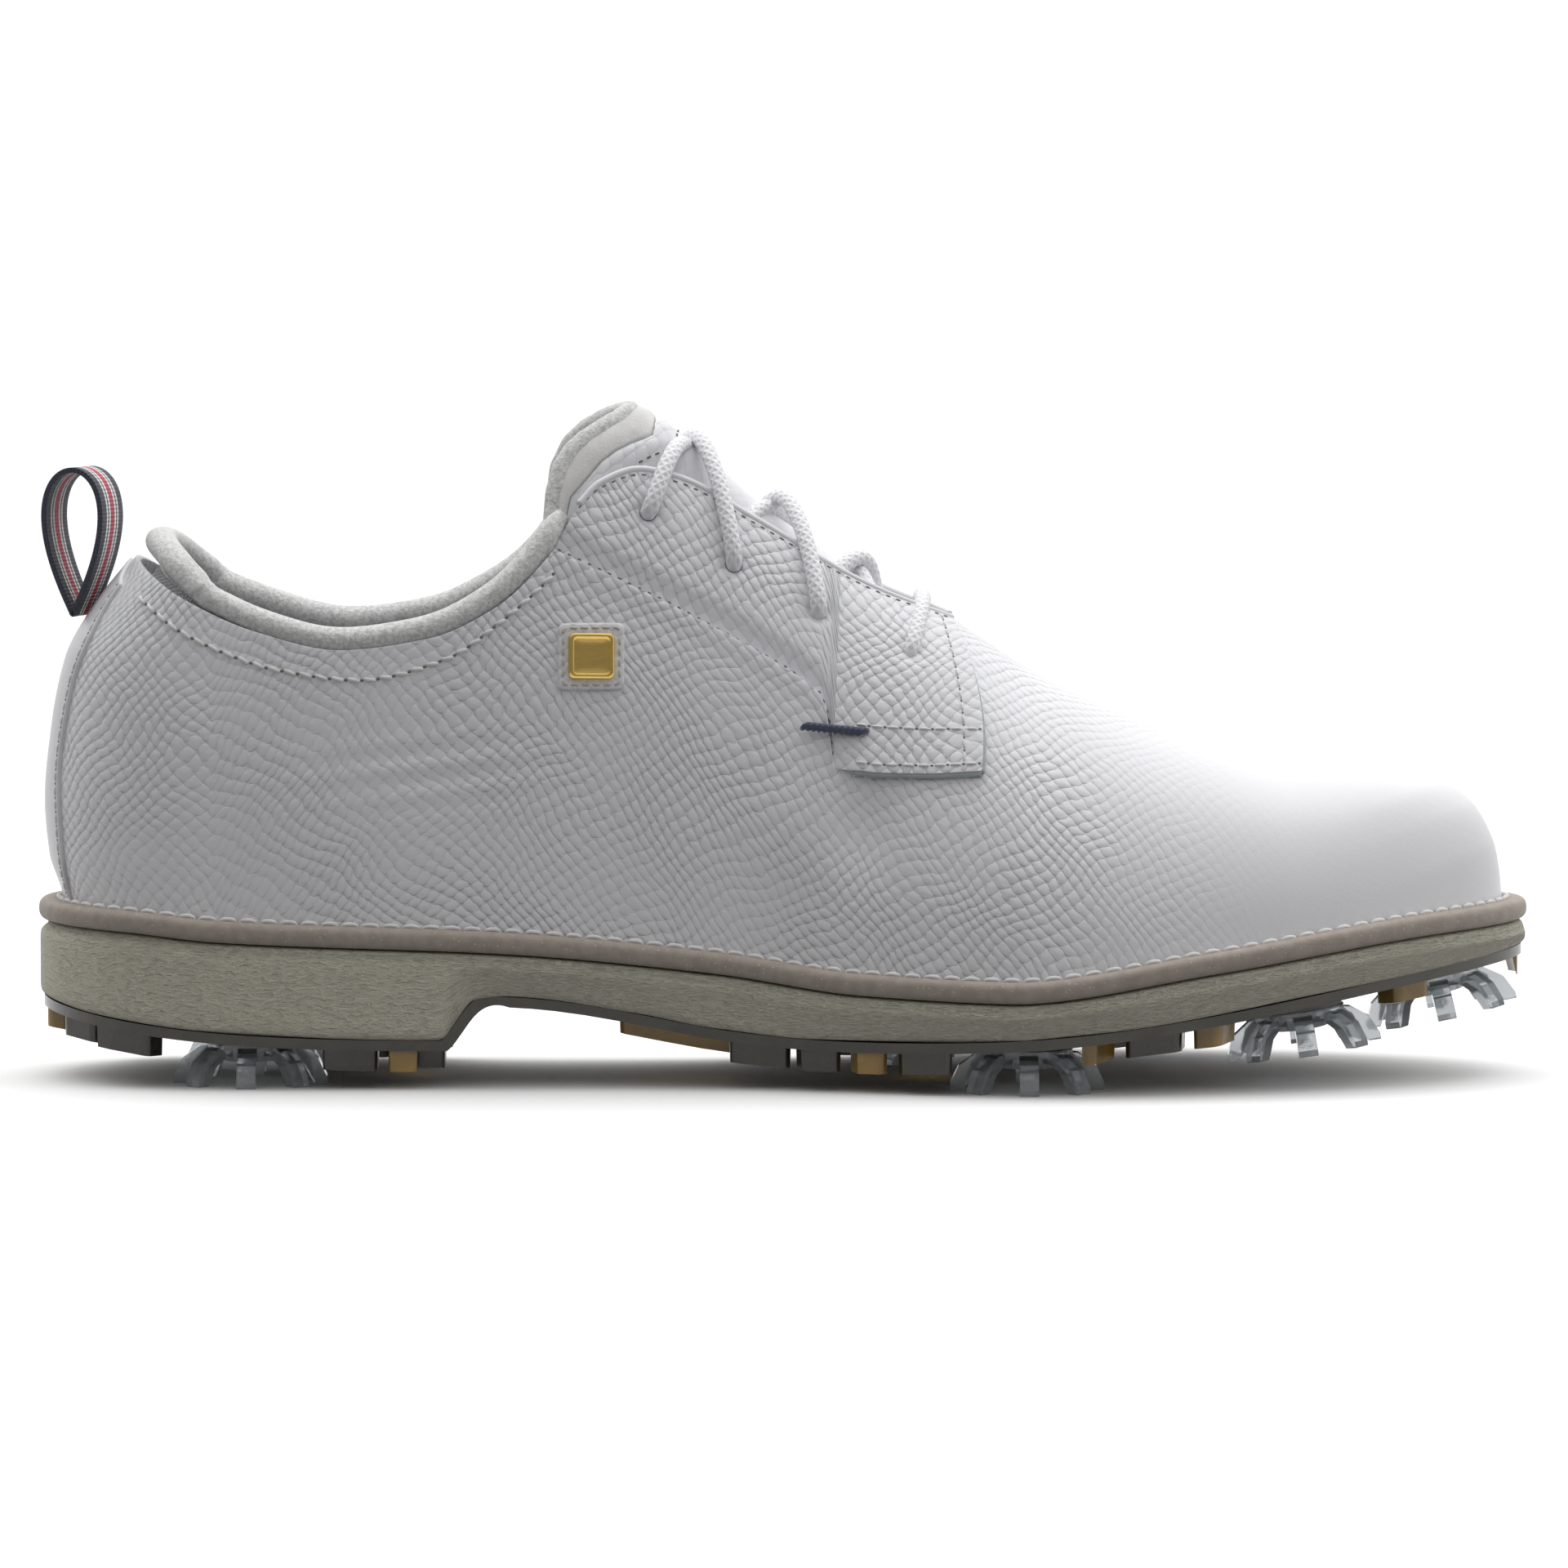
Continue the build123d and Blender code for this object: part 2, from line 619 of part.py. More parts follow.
with BuildPart() as collar_roll:
    add(ROLL_OUTER)
    add(INNER_LINING, mode=Mode.SUBTRACT)
    with BuildSketch(SIDE):
        add(roll_region())
    extrude(amount=WIDE, both=True, mode=Mode.INTERSECT)

# ---- lace ---------------------------------------------------------------
UNDER_LIFT = -(LEATHER + BACKER + LINING + LACE_DIAMETER / 2 + 0.15)
OVER_LIFT = LACE_DIAMETER / 2 + 0.1
CREST_LOW = -2.0
LACE_STEP = LACE_DIAMETER + 0.15
EDGE_Y = {-1: 10.5, 1: 8.5}
TAIL_ROUTE = ((-30, 95), (-36, 79), (-33, 62), (-17, 52), (5, 46), (30, 41), (55, 40), (79, 41))
TAIL_LIFTS = [UNDER_LIFT - extra for extra in (0.4, 0.6, 0.6, 0.6, 0.6, 0.6, 1.4, 2.6)]
AGLET_LENGTH = 16.0
AGLET_RADIUS = 1.4


def eyelet_y(x, z, side):
    return section_reach(x, z + MEDIAL_RISE * (side > 0), side)


def lace_point(k, side, lift):
    """Lace centre at eyelet k (1 is nearest the toe), at a lift from the upper's outside."""
    x, z = EYELETS[4 - k]
    return surface_point(x, eyelet_y(x, z, side), lift)


def crest_point(x, y_shift, lift):
    return surface_point(x, along(RIDGE_SIDE, x) + y_shift, lift)


def lace_strand(side, crest_lifts):
    """Half of the lacing: from inside eyelet 1 on one side to inside eyelet 4 on the other."""
    other = -side
    middle = [(EYELETS[4 - k][0] + EYELETS[3 - k][0]) / 2 for k in (1, 2, 3)]
    over = OVER_LIFT + 0.1
    return [
        lace_point(1, side, UNDER_LIFT),
        crest_point(middle[0] + 4.5, side * EDGE_Y[side], UNDER_LIFT),
        crest_point(middle[0], 0, crest_lifts[0]),
        crest_point(middle[0] - 4.5, other * EDGE_Y[other], UNDER_LIFT),
        lace_point(2, other, UNDER_LIFT),
        lace_point(2, other, OVER_LIFT),
        crest_point(middle[1] + 4.5, other * EDGE_Y[other], over),
        crest_point(middle[1], 0, crest_lifts[1]),
        crest_point(middle[1] - 4.5, side * EDGE_Y[side], UNDER_LIFT),
        lace_point(3, side, UNDER_LIFT),
        lace_point(3, side, OVER_LIFT),
        crest_point(middle[2] + 4.5, side * EDGE_Y[side], over),
        crest_point(middle[2], 0, crest_lifts[2]),
        crest_point(middle[2] - 4.5, other * EDGE_Y[other], over),
        lace_point(4, other, OVER_LIFT),
        lace_point(4, other, UNDER_LIFT),
    ]


def lace_tail(side):
    """Free end tucked in along the inner wall, from below eyelet 4 to its tip."""
    return [
        surface_point(x, section_reach(x, z, side), lift)
        for (x, z), lift in zip(TAIL_ROUTE, TAIL_LIFTS)]


def lace_bar():
    """Bar across the front pair of eyelets."""
    x = EYELETS[3][0]
    over = OVER_LIFT + 0.1
    return [
        lace_point(1, -1, OVER_LIFT),
        crest_point(x + 2, -EDGE_Y[-1], over),
        crest_point(x + 2.6, 0, 0.4),
        crest_point(x + 2, EDGE_Y[1], over),
        lace_point(1, 1, OVER_LIFT),
    ]


def lace_route():
    """Corners of the whole lace, tip to tip."""
    high = CREST_LOW + LACE_STEP
    first = lace_strand(-1, (CREST_LOW, CREST_LOW, high))
    second = lace_strand(1, (high, high, CREST_LOW))
    out = lace_tail(1)[::-1] + first[::-1]
    return out + lace_bar() + second + lace_tail(-1)


def corner_radii(points):
    """Largest tangent arc at each corner: 0.45 of its shorter run over the tangent of half the turn."""
    radii = []
    for a, b, c in zip(points, points[1:], points[2:]):
        before, after = Vector(*b) - Vector(*a), Vector(*c) - Vector(*b)
        half_turn = radians(before.get_angle(after)) / 2
        radii.append(0.45 * min(before.length, after.length) / tan(half_turn))
    return radii


ROUTE = lace_route()
RADII = corner_radii(ROUTE)


def lace_tube(radius):
    """Tube of a radius along the whole lace."""
    with BuildPart() as tube:
        with BuildLine() as path:
            FilletPolyline(*ROUTE, radius=RADII)
        with BuildSketch(Plane(origin=path.line @ 0, z_dir=path.line % 0)):
            Circle(radius)
        sweep(path=path.line)
    long = path.wire().length
    print(f"lace {long:.1f} mm long, tightest arc {min(RADII):.1f} mm")
    print(f"volume {tube.part.volume:.1f}, section times length {pi * radius**2 * long:.1f}")
    return tube.part


def aglet(tip, before):
    """Hard tip on one end of the lace."""
    along_lace = (Vector(*tip) - Vector(*before)).normalized()
    with BuildPart() as tip_shape:
        with BuildSketch(Plane(origin=Vector(*tip), z_dir=along_lace)):
            Circle(AGLET_RADIUS)
        extrude(amount=AGLET_LENGTH)
        fillet(tip_shape.faces().sort_by(Axis.X)[-1].edges(), 0.5)
    return tip_shape.part


with BuildPart() as eyelet_holes:
    for eyelet_side in (-1, 1):
        for eyelet_x, eyelet_z in EYELETS:
            hole_y = eyelet_y(eyelet_x, eyelet_z, eyelet_side)
            hole_start = Vector(*surface_point(eyelet_x, hole_y, -5))
            outward = Vector(*surface_point(eyelet_x, hole_y, 2)) - hole_start
            with BuildSketch(Plane(origin=hole_start, z_dir=outward)):
                Circle(EYELET_DIAMETER / 2)
            extrude(amount=7)

with BuildPart() as lace:
    add(lace_tube(LACE_DIAMETER / 2))

with BuildPart() as lace_tips:
    add(aglet(ROUTE[0], ROUTE[1]))
    add(aglet(ROUTE[-1], ROUTE[-2]))

with BuildPart() as lining:
    add(sheet_between(INNER_LEATHER, INNER_LINING))
    for filler in (collar_foam, heel_counter, toe_puff):
        add(filler.part, mode=Mode.SUBTRACT)
    add(eyelet_holes.part, mode=Mode.SUBTRACT)


def eyestay(side):
    """Facing with the eyelet holes that the lace goes through."""
    with BuildPart() as stay:
        add(LEATHER_SHELL)
        add(STAY_BLOCK, mode=Mode.INTERSECT)
        with BuildSketch(Plane.XY.offset(40)):
            with Locations((0, along(RIDGE_SIDE, 0) + side * WIDE / 2)):
                Rectangle(200, WIDE)
        extrude(amount=120, mode=Mode.INTERSECT)
        add(eyelet_holes.part, mode=Mode.SUBTRACT)
    return stay.part


# ---- tongue -------------------------------------------------------------
def tongue_form(extra):
    crest = [(x, depth + extra) for x, depth in TONGUE_CREST]
    return upper_form(TONGUE_DEPTH + extra, crest_depth=crest)


def tongue_layer(outer, inner):
    """Layer of the tongue between two forms."""
    with BuildPart() as layer:
        add(outer)
        add(inner, mode=Mode.SUBTRACT)
        with BuildSketch(SIDE):
            add(tongue_region())
        extrude(amount=WIDE, both=True, mode=Mode.INTERSECT)
        with BuildSketch(Plane.XY):
            with BuildLine():
                Polyline(*TONGUE_PLAN, close=True)
            make_face()
        extrude(amount=140, mode=Mode.INTERSECT)
    return layer.part


TONGUE_FORMS = [tongue_form(d) for d in (
    0, TONGUE_LEATHER, TONGUE_LEATHER + TONGUE_FOAM, TONGUE_LEATHER + TONGUE_FOAM + TONGUE_LINING)]
TONGUE_FACE = tongue_layer(TONGUE_FORMS[0], TONGUE_FORMS[1])

with BuildPart() as tongue_leather:
    add(TONGUE_FACE)
    with BuildSketch(SIDE):
        add(trim_region())
    extrude(amount=WIDE, both=True, mode=Mode.SUBTRACT)

with BuildPart() as tongue_top:
    add(TONGUE_FACE)
    with BuildSketch(SIDE):
        add(trim_region())
    extrude(amount=WIDE, both=True, mode=Mode.INTERSECT)

with BuildPart() as tongue_foam:
    add(tongue_layer(TONGUE_FORMS[1], TONGUE_FORMS[2]))

with BuildPart() as tongue_lining:
    add(tongue_layer(TONGUE_FORMS[2], TONGUE_FORMS[3]))

# ---- pull loop ----------------------------------------------------------
LOOP_BASE = (-134.6, 88.6)
LOOP_TALL = 27.6
LOOP_HALF = 6.3
LOOP_YAW = -15


def loop_outline(grow):
    """Teardrop line of the webbing, grown outward, as points from its foot and back."""
    points = []
    for k in range(17):
        turn = 2 * pi * k / 16
        wide = (LOOP_HALF + grow) * sin(turn) * abs(sin(turn / 2)) ** 1.1 * 1.2
        tall = -1.6 * grow + (LOOP_TALL + 2.6 * grow) * (1 - cos(turn)) / 2
        points.append((wide, LOOP_BASE[1] + tall))
    return points


LOOP_LEAN = radians(LOOP_YAW)
LOOP_PLANE = Plane(
    origin=(LOOP_BASE[0], 0, 0),
    x_dir=(cos(LOOP_LEAN), sin(LOOP_LEAN), 0),
    z_dir=(sin(LOOP_LEAN), -cos(LOOP_LEAN), 0),
)

with BuildPart() as pull_loop:
    with BuildSketch(LOOP_PLANE):
        for grow, mode in ((LOOP_THICK / 2, Mode.ADD), (-LOOP_THICK / 2, Mode.SUBTRACT)):
            with BuildLine():
                Spline(*loop_outline(grow))
            make_face(mode=mode)
    extrude(amount=LOOP_WIDTH / 2, both=True)

# ---- badge and bar tacks ------------------------------------------------
def surface_plane(x, z, side):
    """Plane on the upper's outside, x direction forward."""
    y = section_reach(x, z, side)
    outward = (Vector(*surface_point(x, y, 1)) - Vector(*surface_point(x, y, 0))).normalized()
    forward = Vector(1, 0, 0)
    forward = (forward - outward * forward.dot(outward)).normalized()
    return Plane(origin=(x, y, z), x_dir=forward, z_dir=outward)


BADGE_PLACE = surface_plane(-36.5, 81.5, -1)
with BuildPart() as badge_patch:
    with BuildSketch(BADGE_PLACE.offset(-1.2)):
        RectangleRounded(12.5, 12.5, 1)
    extrude(amount=2.0)
    add(OUTER, mode=Mode.SUBTRACT)

with BuildPart() as badge:
    with BuildSketch(BADGE_PLACE.offset(0.82)):
        RectangleRounded(8.7, 8.9, 1.2)
    extrude(amount=0.8)


def bartack(side):
    """Thread bar sewn across the foot of the slit."""
    with BuildPart() as tack:
        with BuildSketch(surface_plane(9.6, 67.6, side).offset(-1)):
            SlotOverall(11.5, 1.9)
        extrude(amount=1.9)
        add(OUTER, mode=Mode.SUBTRACT)
    return tack.part


# ---- write every piece --------------------------------------------------
def placed(shape, plane):
    return plane.location * shape


PIECES = {
    "vamp_and_quarters": vamp_and_quarters.part,
    "eyestay_lateral": eyestay(-1),
    "eyestay_medial": eyestay(1),
    "heel_strip": heel_strip.part,
    "heel_counter": heel_counter.part,
    "toe_puff": toe_puff.part,
    "lining": lining.part,
    "collar_foam": collar_foam.part,
    "collar_roll": collar_roll.part,
    "tongue_leather": tongue_leather.part,
    "tongue_top": tongue_top.part,
    "tongue_foam": tongue_foam.part,
    "tongue_lining": tongue_lining.part,
    "lace": lace.part,
    "lace_tips": lace_tips.part,
    "pull_loop": pull_loop.part,
    "badge_patch": badge_patch.part,
    "badge": badge.part,
    "bartack_lateral": bartack(-1),
    "bartack_medial": bartack(1),
    "welt": welt.part,
    "midsole": midsole.part,
    "shank": shank.part,
    "insole_board": insole_board.part,
    "sockliner": sockliner.part,
    "outsole": outsole.part,
    "lugs_dark": lugs_dark,
    "lugs_gold": lugs_gold,
}
for cleat_name, cleat_place in CLEAT_PLANES.items():
    PIECES["cleat_" + cleat_name] = placed(cleat_shape.part, cleat_place)
    PIECES["receptacle_" + cleat_name] = placed(receptacle_shape.part, cleat_place)

os.makedirs("parts", exist_ok=True)
for piece_name, piece in PIECES.items():
    piece.label = piece_name
    export_step(piece, f"parts/{piece_name}.step")
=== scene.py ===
from math import asin, atan2, cos, pi, radians, sin, sqrt

import bmesh
import bpy
import numpy as np
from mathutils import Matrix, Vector


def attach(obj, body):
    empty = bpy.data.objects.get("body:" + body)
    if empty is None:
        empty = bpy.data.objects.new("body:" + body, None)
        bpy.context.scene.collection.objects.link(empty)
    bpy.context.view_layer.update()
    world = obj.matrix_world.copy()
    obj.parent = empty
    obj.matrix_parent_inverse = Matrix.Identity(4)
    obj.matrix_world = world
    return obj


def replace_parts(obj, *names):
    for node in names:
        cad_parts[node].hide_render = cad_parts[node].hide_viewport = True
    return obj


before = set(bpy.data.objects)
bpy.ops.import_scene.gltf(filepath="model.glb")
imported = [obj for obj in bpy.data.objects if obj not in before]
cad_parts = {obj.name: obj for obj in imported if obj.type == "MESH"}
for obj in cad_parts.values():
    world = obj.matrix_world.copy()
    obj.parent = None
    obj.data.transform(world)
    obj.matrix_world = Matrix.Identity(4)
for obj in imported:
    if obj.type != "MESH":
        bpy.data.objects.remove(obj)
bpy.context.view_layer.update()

# Golf shoe in the frame's own axes: +X heel to toe, -Y the lateral side, +Z up.
# Shapes are worked out in millimetres and written to the meshes in metres.
MM = 0.001

# ---- driving dimensions, mm ---------------------------------------------
HEEL_END, TOE_END = -143.2, 143.2
HEEL_AXIS = -108.0
TOE_AXIS = 95.0
HEEL_HALF_WIDTH = 34.0
TOE_SHIFT = 4.0
FEATHER_INSET = 4.5
WELT_THICK = 4.2
LEATHER = 1.3
BACKER = 0.6
LINING = 0.7
COLLAR_PAD = 2.6
LACE_DIAMETER = 3.2
LATERAL, MEDIAL = -1, 1

LATERAL_PLAN = (
    (-108, 34), (-85, 34.3), (-60, 33.2), (-35, 32.3), (-10, 33.8), (15, 40.5), (45, 48.5))
MEDIAL_PLAN = (
    (-108, 34), (-85, 32.5), (-60, 29.5), (-35, 27.6), (-10, 28.8), (15, 35.5), (40, 45),
    (62, 48.5))
WELT_TOP = (
    (-145, 34.4), (-125, 33.7), (-106, 32), (-55, 29.9), (-14, 26.2), (14, 22.6),
    (42, 21.7), (81, 26.9), (124, 32.8), (145, 34))
UNDERSIDE = (
    (-145, 16.4), (-131, 13.7), (-99, 10.3), (-64.8, 9.4), (-61.5, 13.5), (-58.5, 17), (-53, 17.6),
    (-28.6, 14.5), (-14, 11.8), (4, 10), (28, 10), (59, 12), (102.5, 18.8), (145, 25.4))
RIDGE = (
    (-112, 118), (-95, 130), (-75, 138), (-52, 139), (-38, 134), (-23.5, 127), (0, 110.6),
    (30.6, 88.8), (50, 76.2), (72, 66.9), (100, 59), (119, 57.8), (126, 56.4), (132, 52.6),
    (136.6, 45), (138, 38.5), (138.7, 28))
RIDGE_SIDE = ((-142, 0), (-60, 0.5), (-12, 2.5), (60, 4), (138, 4))
ROUND_ACROSS = ((-142, 2.4), (-60, 2.4), (-12, 2), (60, 2.2), (100, 2.5), (138, 2.5))
ROUND_UP = ((-142, 2.5), (-60, 2.1), (-12, 1.8), (60, 2), (138, 2.2))
# Back of the heel, as (z, x)
HEEL_BACK = (
    (24, -137), (35, -138), (43, -140.5), (53, -141.3), (67, -140), (80, -137.3),
    (90, -131.8), (100, -124), (112, -116))
# Seams and edges seen from the side, as (x, z)
COLLAR_LINE = (
    (-146, 118), (-125, 100.4), (-114.8, 93), (-99.5, 86.2), (-84, 82.9), (-67.4, 85),
    (-54.6, 90.8), (-43.6, 101.7), (-38.6, 110.4))
ROLL_LINE = (
    (-133, 114), (-121, 106.6), (-112, 98.5), (-98.5, 90.6), (-84, 86.9), (-68.5, 89),
    (-57.5, 94.4), (-47.3, 103.9), (-42.2, 112.5))
EYESTAY_EDGE = (
    (-38.6, 110.4), (-34.7, 114.5), (-27.6, 117), (-20.6, 115.6), (-5.3, 107.4),
    (20.4, 92), (31.5, 87.2))
QUARTER_EDGE = ((-43.6, 101.7), (-21.4, 91.1), (1, 78.8), (7, 74.2), (8.6, 69.5), (9.4, 61.4))
TAB_CORNER = (37.2, 59.8)
HEEL_SEAM = ((24, -134), (44, -137.3), (57, -137.8), (74, -135.5), (88, -130), (104, -119))
EYELETS = ((-25.7, 108.6), (-9.4, 98.8), (6.7, 89.8), (23.7, 81.5))
MEDIAL_RISE = 2.5
THROAT = 33.0


# ---- curves and surfaces ------------------------------------------------
def along(table, x):
    """Value at x of the smooth curve through a table of (x, value)."""
    if x <= table[0][0]:
        return table[0][1]
    if x >= table[-1][0]:
        return table[-1][1]
    i = max(k for k in range(len(table) - 1) if table[k][0] <= x)
    slopes = [(b[1] - a[1]) / (b[0] - a[0]) for a, b in zip(table, table[1:])]

    def tangent_at(k):
        if k == 0 or k == len(slopes):
            return slopes[min(k, len(slopes) - 1)]
        before, after = slopes[k - 1], slopes[k]
        return 0.0 if before * after <= 0 else 2 * before * after / (before + after)

    (x0, y0), (x1, y1) = table[i], table[i + 1]
    span = x1 - x0
    t = (x - x0) / span
    rise = (2 * t**3 - 3 * t**2 + 1) * y0 + (3 * t**2 - 2 * t**3) * y1
    return rise + span * ((t**3 - 2 * t**2 + t) * tangent_at(i) + (t**3 - t**2) * tangent_at(i + 1))


def sampled(function, low, high, step=0.1):
    xs = np.arange(low, high + step, step)
    ys = np.array([function(x) for x in xs])
    return lambda x: np.interp(x, xs, ys)


def curve_of(table, low=-150, high=150):
    return sampled(lambda x: along(table, x), low, high)


def plan_edge(x, side, inset=0.0):
    """Sole outline: y at x on one side."""
    table = LATERAL_PLAN if side == LATERAL else MEDIAL_PLAN
    widest_x, widest = table[-1]
    if x < HEEL_AXIS:
        share = min(1.0, (HEEL_AXIS - x) / (HEEL_AXIS - HEEL_END - inset))
        return side * (HEEL_HALF_WIDTH - inset) * (1 - share**2.1) ** (1 / 2.1)
    if x > widest_x:
        share = min(1.0, (x - widest_x) / (TOE_END - inset - widest_x))
        roundness = 1.85 if side == LATERAL else 2.1
        half = widest - side * TOE_SHIFT - inset
        return TOE_SHIFT + side * half * (1 - share**roundness) ** (1 / roundness)
    return side * (along(table, x) - inset)


welt_top = curve_of(WELT_TOP)
underside = curve_of(UNDERSIDE)
ridge_z = curve_of(RIDGE)
ridge_y = curve_of(RIDGE_SIDE)
across = curve_of(ROUND_ACROSS)
upright = curve_of(ROUND_UP)
collar_z = curve_of(COLLAR_LINE, -150, 0)
roll_z = curve_of(ROLL_LINE, -150, 0)
quarter_z = curve_of(QUARTER_EDGE, -60, 20)
heel_back = curve_of(HEEL_BACK, 20, 120)
heel_seam = curve_of(HEEL_SEAM, 20, 120)
feather = {
    side: sampled(lambda x, side=side: plan_edge(x, side, FEATHER_INSET), -138.6, 138.7)
    for side in (LATERAL, MEDIAL)}
HEEL_ROUND = 2.1


def foot_z(x):
    return welt_top(x) - WELT_THICK - 3


def half_width(x, side):
    return np.abs(feather[side](x) - ridge_y(x))


def reach(x, z, side):
    """y of the upper's outside at x and height z on one side."""
    at = np.maximum(x, HEEL_AXIS)
    share = np.clip((z - foot_z(at)) / (ridge_z(at) - foot_z(at)), 0, 1)
    half = half_width(at, side) * (1 - share ** upright(at)) ** (1 / across(at))
    y = ridge_y(at) + side * half
    back = np.clip((HEEL_AXIS - x) / (HEEL_AXIS - heel_back(z)), 0, 1)
    return y * (1 - back**HEEL_ROUND) ** (1 / HEEL_ROUND)


def height(x, y):
    """Height of the upper's outside at x, y."""
    half = np.where(y < ridge_y(x), half_width(x, LATERAL), half_width(x, MEDIAL))
    share = np.clip(np.abs(y - ridge_y(x)) / half, 0, 1) ** across(x)
    return foot_z(x) + (ridge_z(x) - foot_z(x)) * (1 - share) ** (1 / upright(x))


def crown(x, y, lift):
    """Points at a distance from the upper's outside, over x, y."""
    step = 0.4
    slope_x = (height(x + step, y) - height(x - step, y)) / (2 * step)
    slope_y = (height(x, y + step) - height(x, y - step)) / (2 * step)
    size = np.sqrt(1 + slope_x**2 + slope_y**2)
    place = (x - lift * slope_x / size, y - lift * slope_y / size, height(x, y) + lift / size)
    return np.stack(np.broadcast_arrays(*place), -1)


def wall(x, z, side, lift=0.0):
    """Points at a distance from the upper's outside, over x, z on one side, and their normals."""
    x, z = np.broadcast_arrays(np.asarray(x, float), np.asarray(z, float))
    step = 0.3
    slope_x = (reach(x + step, z, side) - reach(x - step, z, side)) / (2 * step)
    slope_z = (reach(x, z + step, side) - reach(x, z - step, side)) / (2 * step)
    normal = np.stack([slope_x, -np.ones_like(x), slope_z], -1) * -side
    normal = unit(normal)
    place = np.stack([x, reach(x, z, side), z], -1)
    return place + normal * np.asarray(lift)[..., None], normal


def smooth(low, high, x):
    t = np.clip((x - low) / (high - low), 0, 1)
    return t * t * (3 - 2 * t)


def hump(x, z, at_x, at_z, wide, tall):
    """Soft round swelling with its middle at one place."""
    return np.exp(-(((x - at_x) / wide) ** 2) - ((z - at_z) / tall) ** 2)


def lengths_along(points):
    """Distance along a line of points, from its start to each point."""
    return np.r_[0, np.cumsum(np.linalg.norm(np.diff(points, axis=0), axis=1))]


def unit(vectors):
    """Vectors brought to length 1."""
    return vectors / np.linalg.norm(vectors, axis=-1, keepdims=True)


def evenly(points, spacing, closed=False):
    """Points at an even spacing along a line of points."""
    points = np.asarray(points, float)
    if closed:
        points = np.vstack([points, points[:1]])
    lengths = lengths_along(points)
    count = max(2, int(round(lengths[-1] / spacing)))
    at = np.linspace(0, lengths[-1], count + 1)
    if closed:
        at = at[:-1]
    return np.stack([np.interp(at, lengths, points[:, k]) for k in range(points.shape[1])], -1)


def curve_points(table, count):
    """Points along a side-view line, smooth in x."""
    xs = np.linspace(table[0][0], table[-1][0], count)
    return np.array([(x, along(table, x)) for x in xs])


# ---- mesh helpers -------------------------------------------------------
def face_outward(verts, faces, uvs, outward):
    """Faces and UVs of a sheet of quads, each turned to look the way of its outward vector."""
    verts, faces, outward = np.asarray(verts), np.array(faces), np.asarray(outward).reshape(-1, 3)
    corners = [verts[faces[:, k]] for k in range(4)]
    looks = np.cross(corners[2] - corners[0], corners[3] - corners[1])
    wrong = np.sum(looks * outward[faces[:, 0]], 1) < 0
    turned = [0, 3, 2, 1]
    faces[wrong] = faces[wrong][:, turned]
    if uvs is not None:
        uvs = np.asarray(uvs, float).reshape(-1, 4, 2)
        uvs[wrong] = uvs[wrong][:, turned]
    return faces.tolist(), uvs


def new_object(
    name, verts, faces, slot, uvs=None, grain=None, body="root", merge=True, outward=None
):
    """Mesh piece from points in mm, with a UV map in mm and a grain strength per point.
    An open sheet gives an outward vector per point; other shapes are closed."""
    mesh = bpy.data.meshes.new(name)
    if outward is not None:
        faces, uvs = face_outward(verts, faces, uvs, outward)
    mesh.from_pydata([tuple(v) for v in np.asarray(verts) * MM], [], faces)
    if uvs is not None:
        layer = mesh.uv_layers.new(name="UVMap")
        layer.data.foreach_set("uv", np.asarray(uvs, np.float32).ravel())
    if grain is not None:
        attribute = mesh.attributes.new("grain", "FLOAT", "POINT")
        attribute.data.foreach_set("value", np.asarray(grain, np.float32).ravel())
    bm = bmesh.new()
    bm.from_mesh(mesh)
    if merge:
        bmesh.ops.remove_doubles(bm, verts=bm.verts, dist=0.004 * MM)
        bmesh.ops.dissolve_degenerate(bm, edges=bm.edges, dist=0.002 * MM)
    if outward is None:
        bmesh.ops.recalc_face_normals(bm, faces=bm.faces)
    bm.to_mesh(mesh)
    bm.free()
    mesh.polygons.foreach_set("use_smooth", [True] * len(mesh.polygons))
    piece = bpy.data.objects.new(name, mesh)
    bpy.context.scene.collection.objects.link(piece)
    piece.data.materials.append(MATERIALS[slot])
    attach(piece, body)
    return piece


def grid(points, uv=None, closed=(False, False), start=0):
    """Faces and UVs of a grid of points. uv has one more row or column where the grid is closed."""
    rows, cols = np.asarray(points).shape[:2]
    faces, uvs = [], []
    for i in range(rows if closed[0] else rows - 1):
        for j in range(cols if closed[1] else cols - 1):
            corners = ((i, j), (i + 1, j), (i + 1, j + 1), (i, j + 1))
            faces.append([start + (a % rows) * cols + b % cols for a, b in corners])
            if uv is not None:
                uvs.extend(uv[a][b] for a, b in corners)
    return faces, uvs


def grid_object(
    name, points, slot, uv=None, closed=(False, False), grain=None, body="root", outward=None
):
    faces, uvs = grid(points, uv, closed)
    verts = np.asarray(points).reshape(-1, 3)
    return new_object(name, verts, faces, slot, uvs or None, grain, body, outward=outward)


def thicken(piece, thick, offset=-1.0, round_edge=0.0, segments=2):
    """Gives a sheet its thickness in mm and rounds its edge."""
    solid = piece.modifiers.new("thickness", "SOLIDIFY")
    solid.thickness, solid.offset = thick * MM, offset
    solid.use_even_offset = False
    if round_edge:
        edge = piece.modifiers.new("edge", "BEVEL")
        edge.width, edge.segments = round_edge * MM, segments
        edge.limit_method, edge.angle_limit = "ANGLE", radians(50)
        edge.use_clamp_overlap = True


def ring_frames(path, up, closed=False):
    """Unit tangent, side and up vectors along a path."""
    path = np.asarray(path, float)
    if closed:
        tangent = np.roll(path, -1, 0) - np.roll(path, 1, 0)
    else:
        tangent = np.gradient(path, axis=0)
    tangent = unit(tangent)
    up = np.asarray(up, float)
    up = up - tangent * np.sum(up * tangent, 1, keepdims=True)
    up = unit(up)
    return tangent, np.cross(tangent, up), up


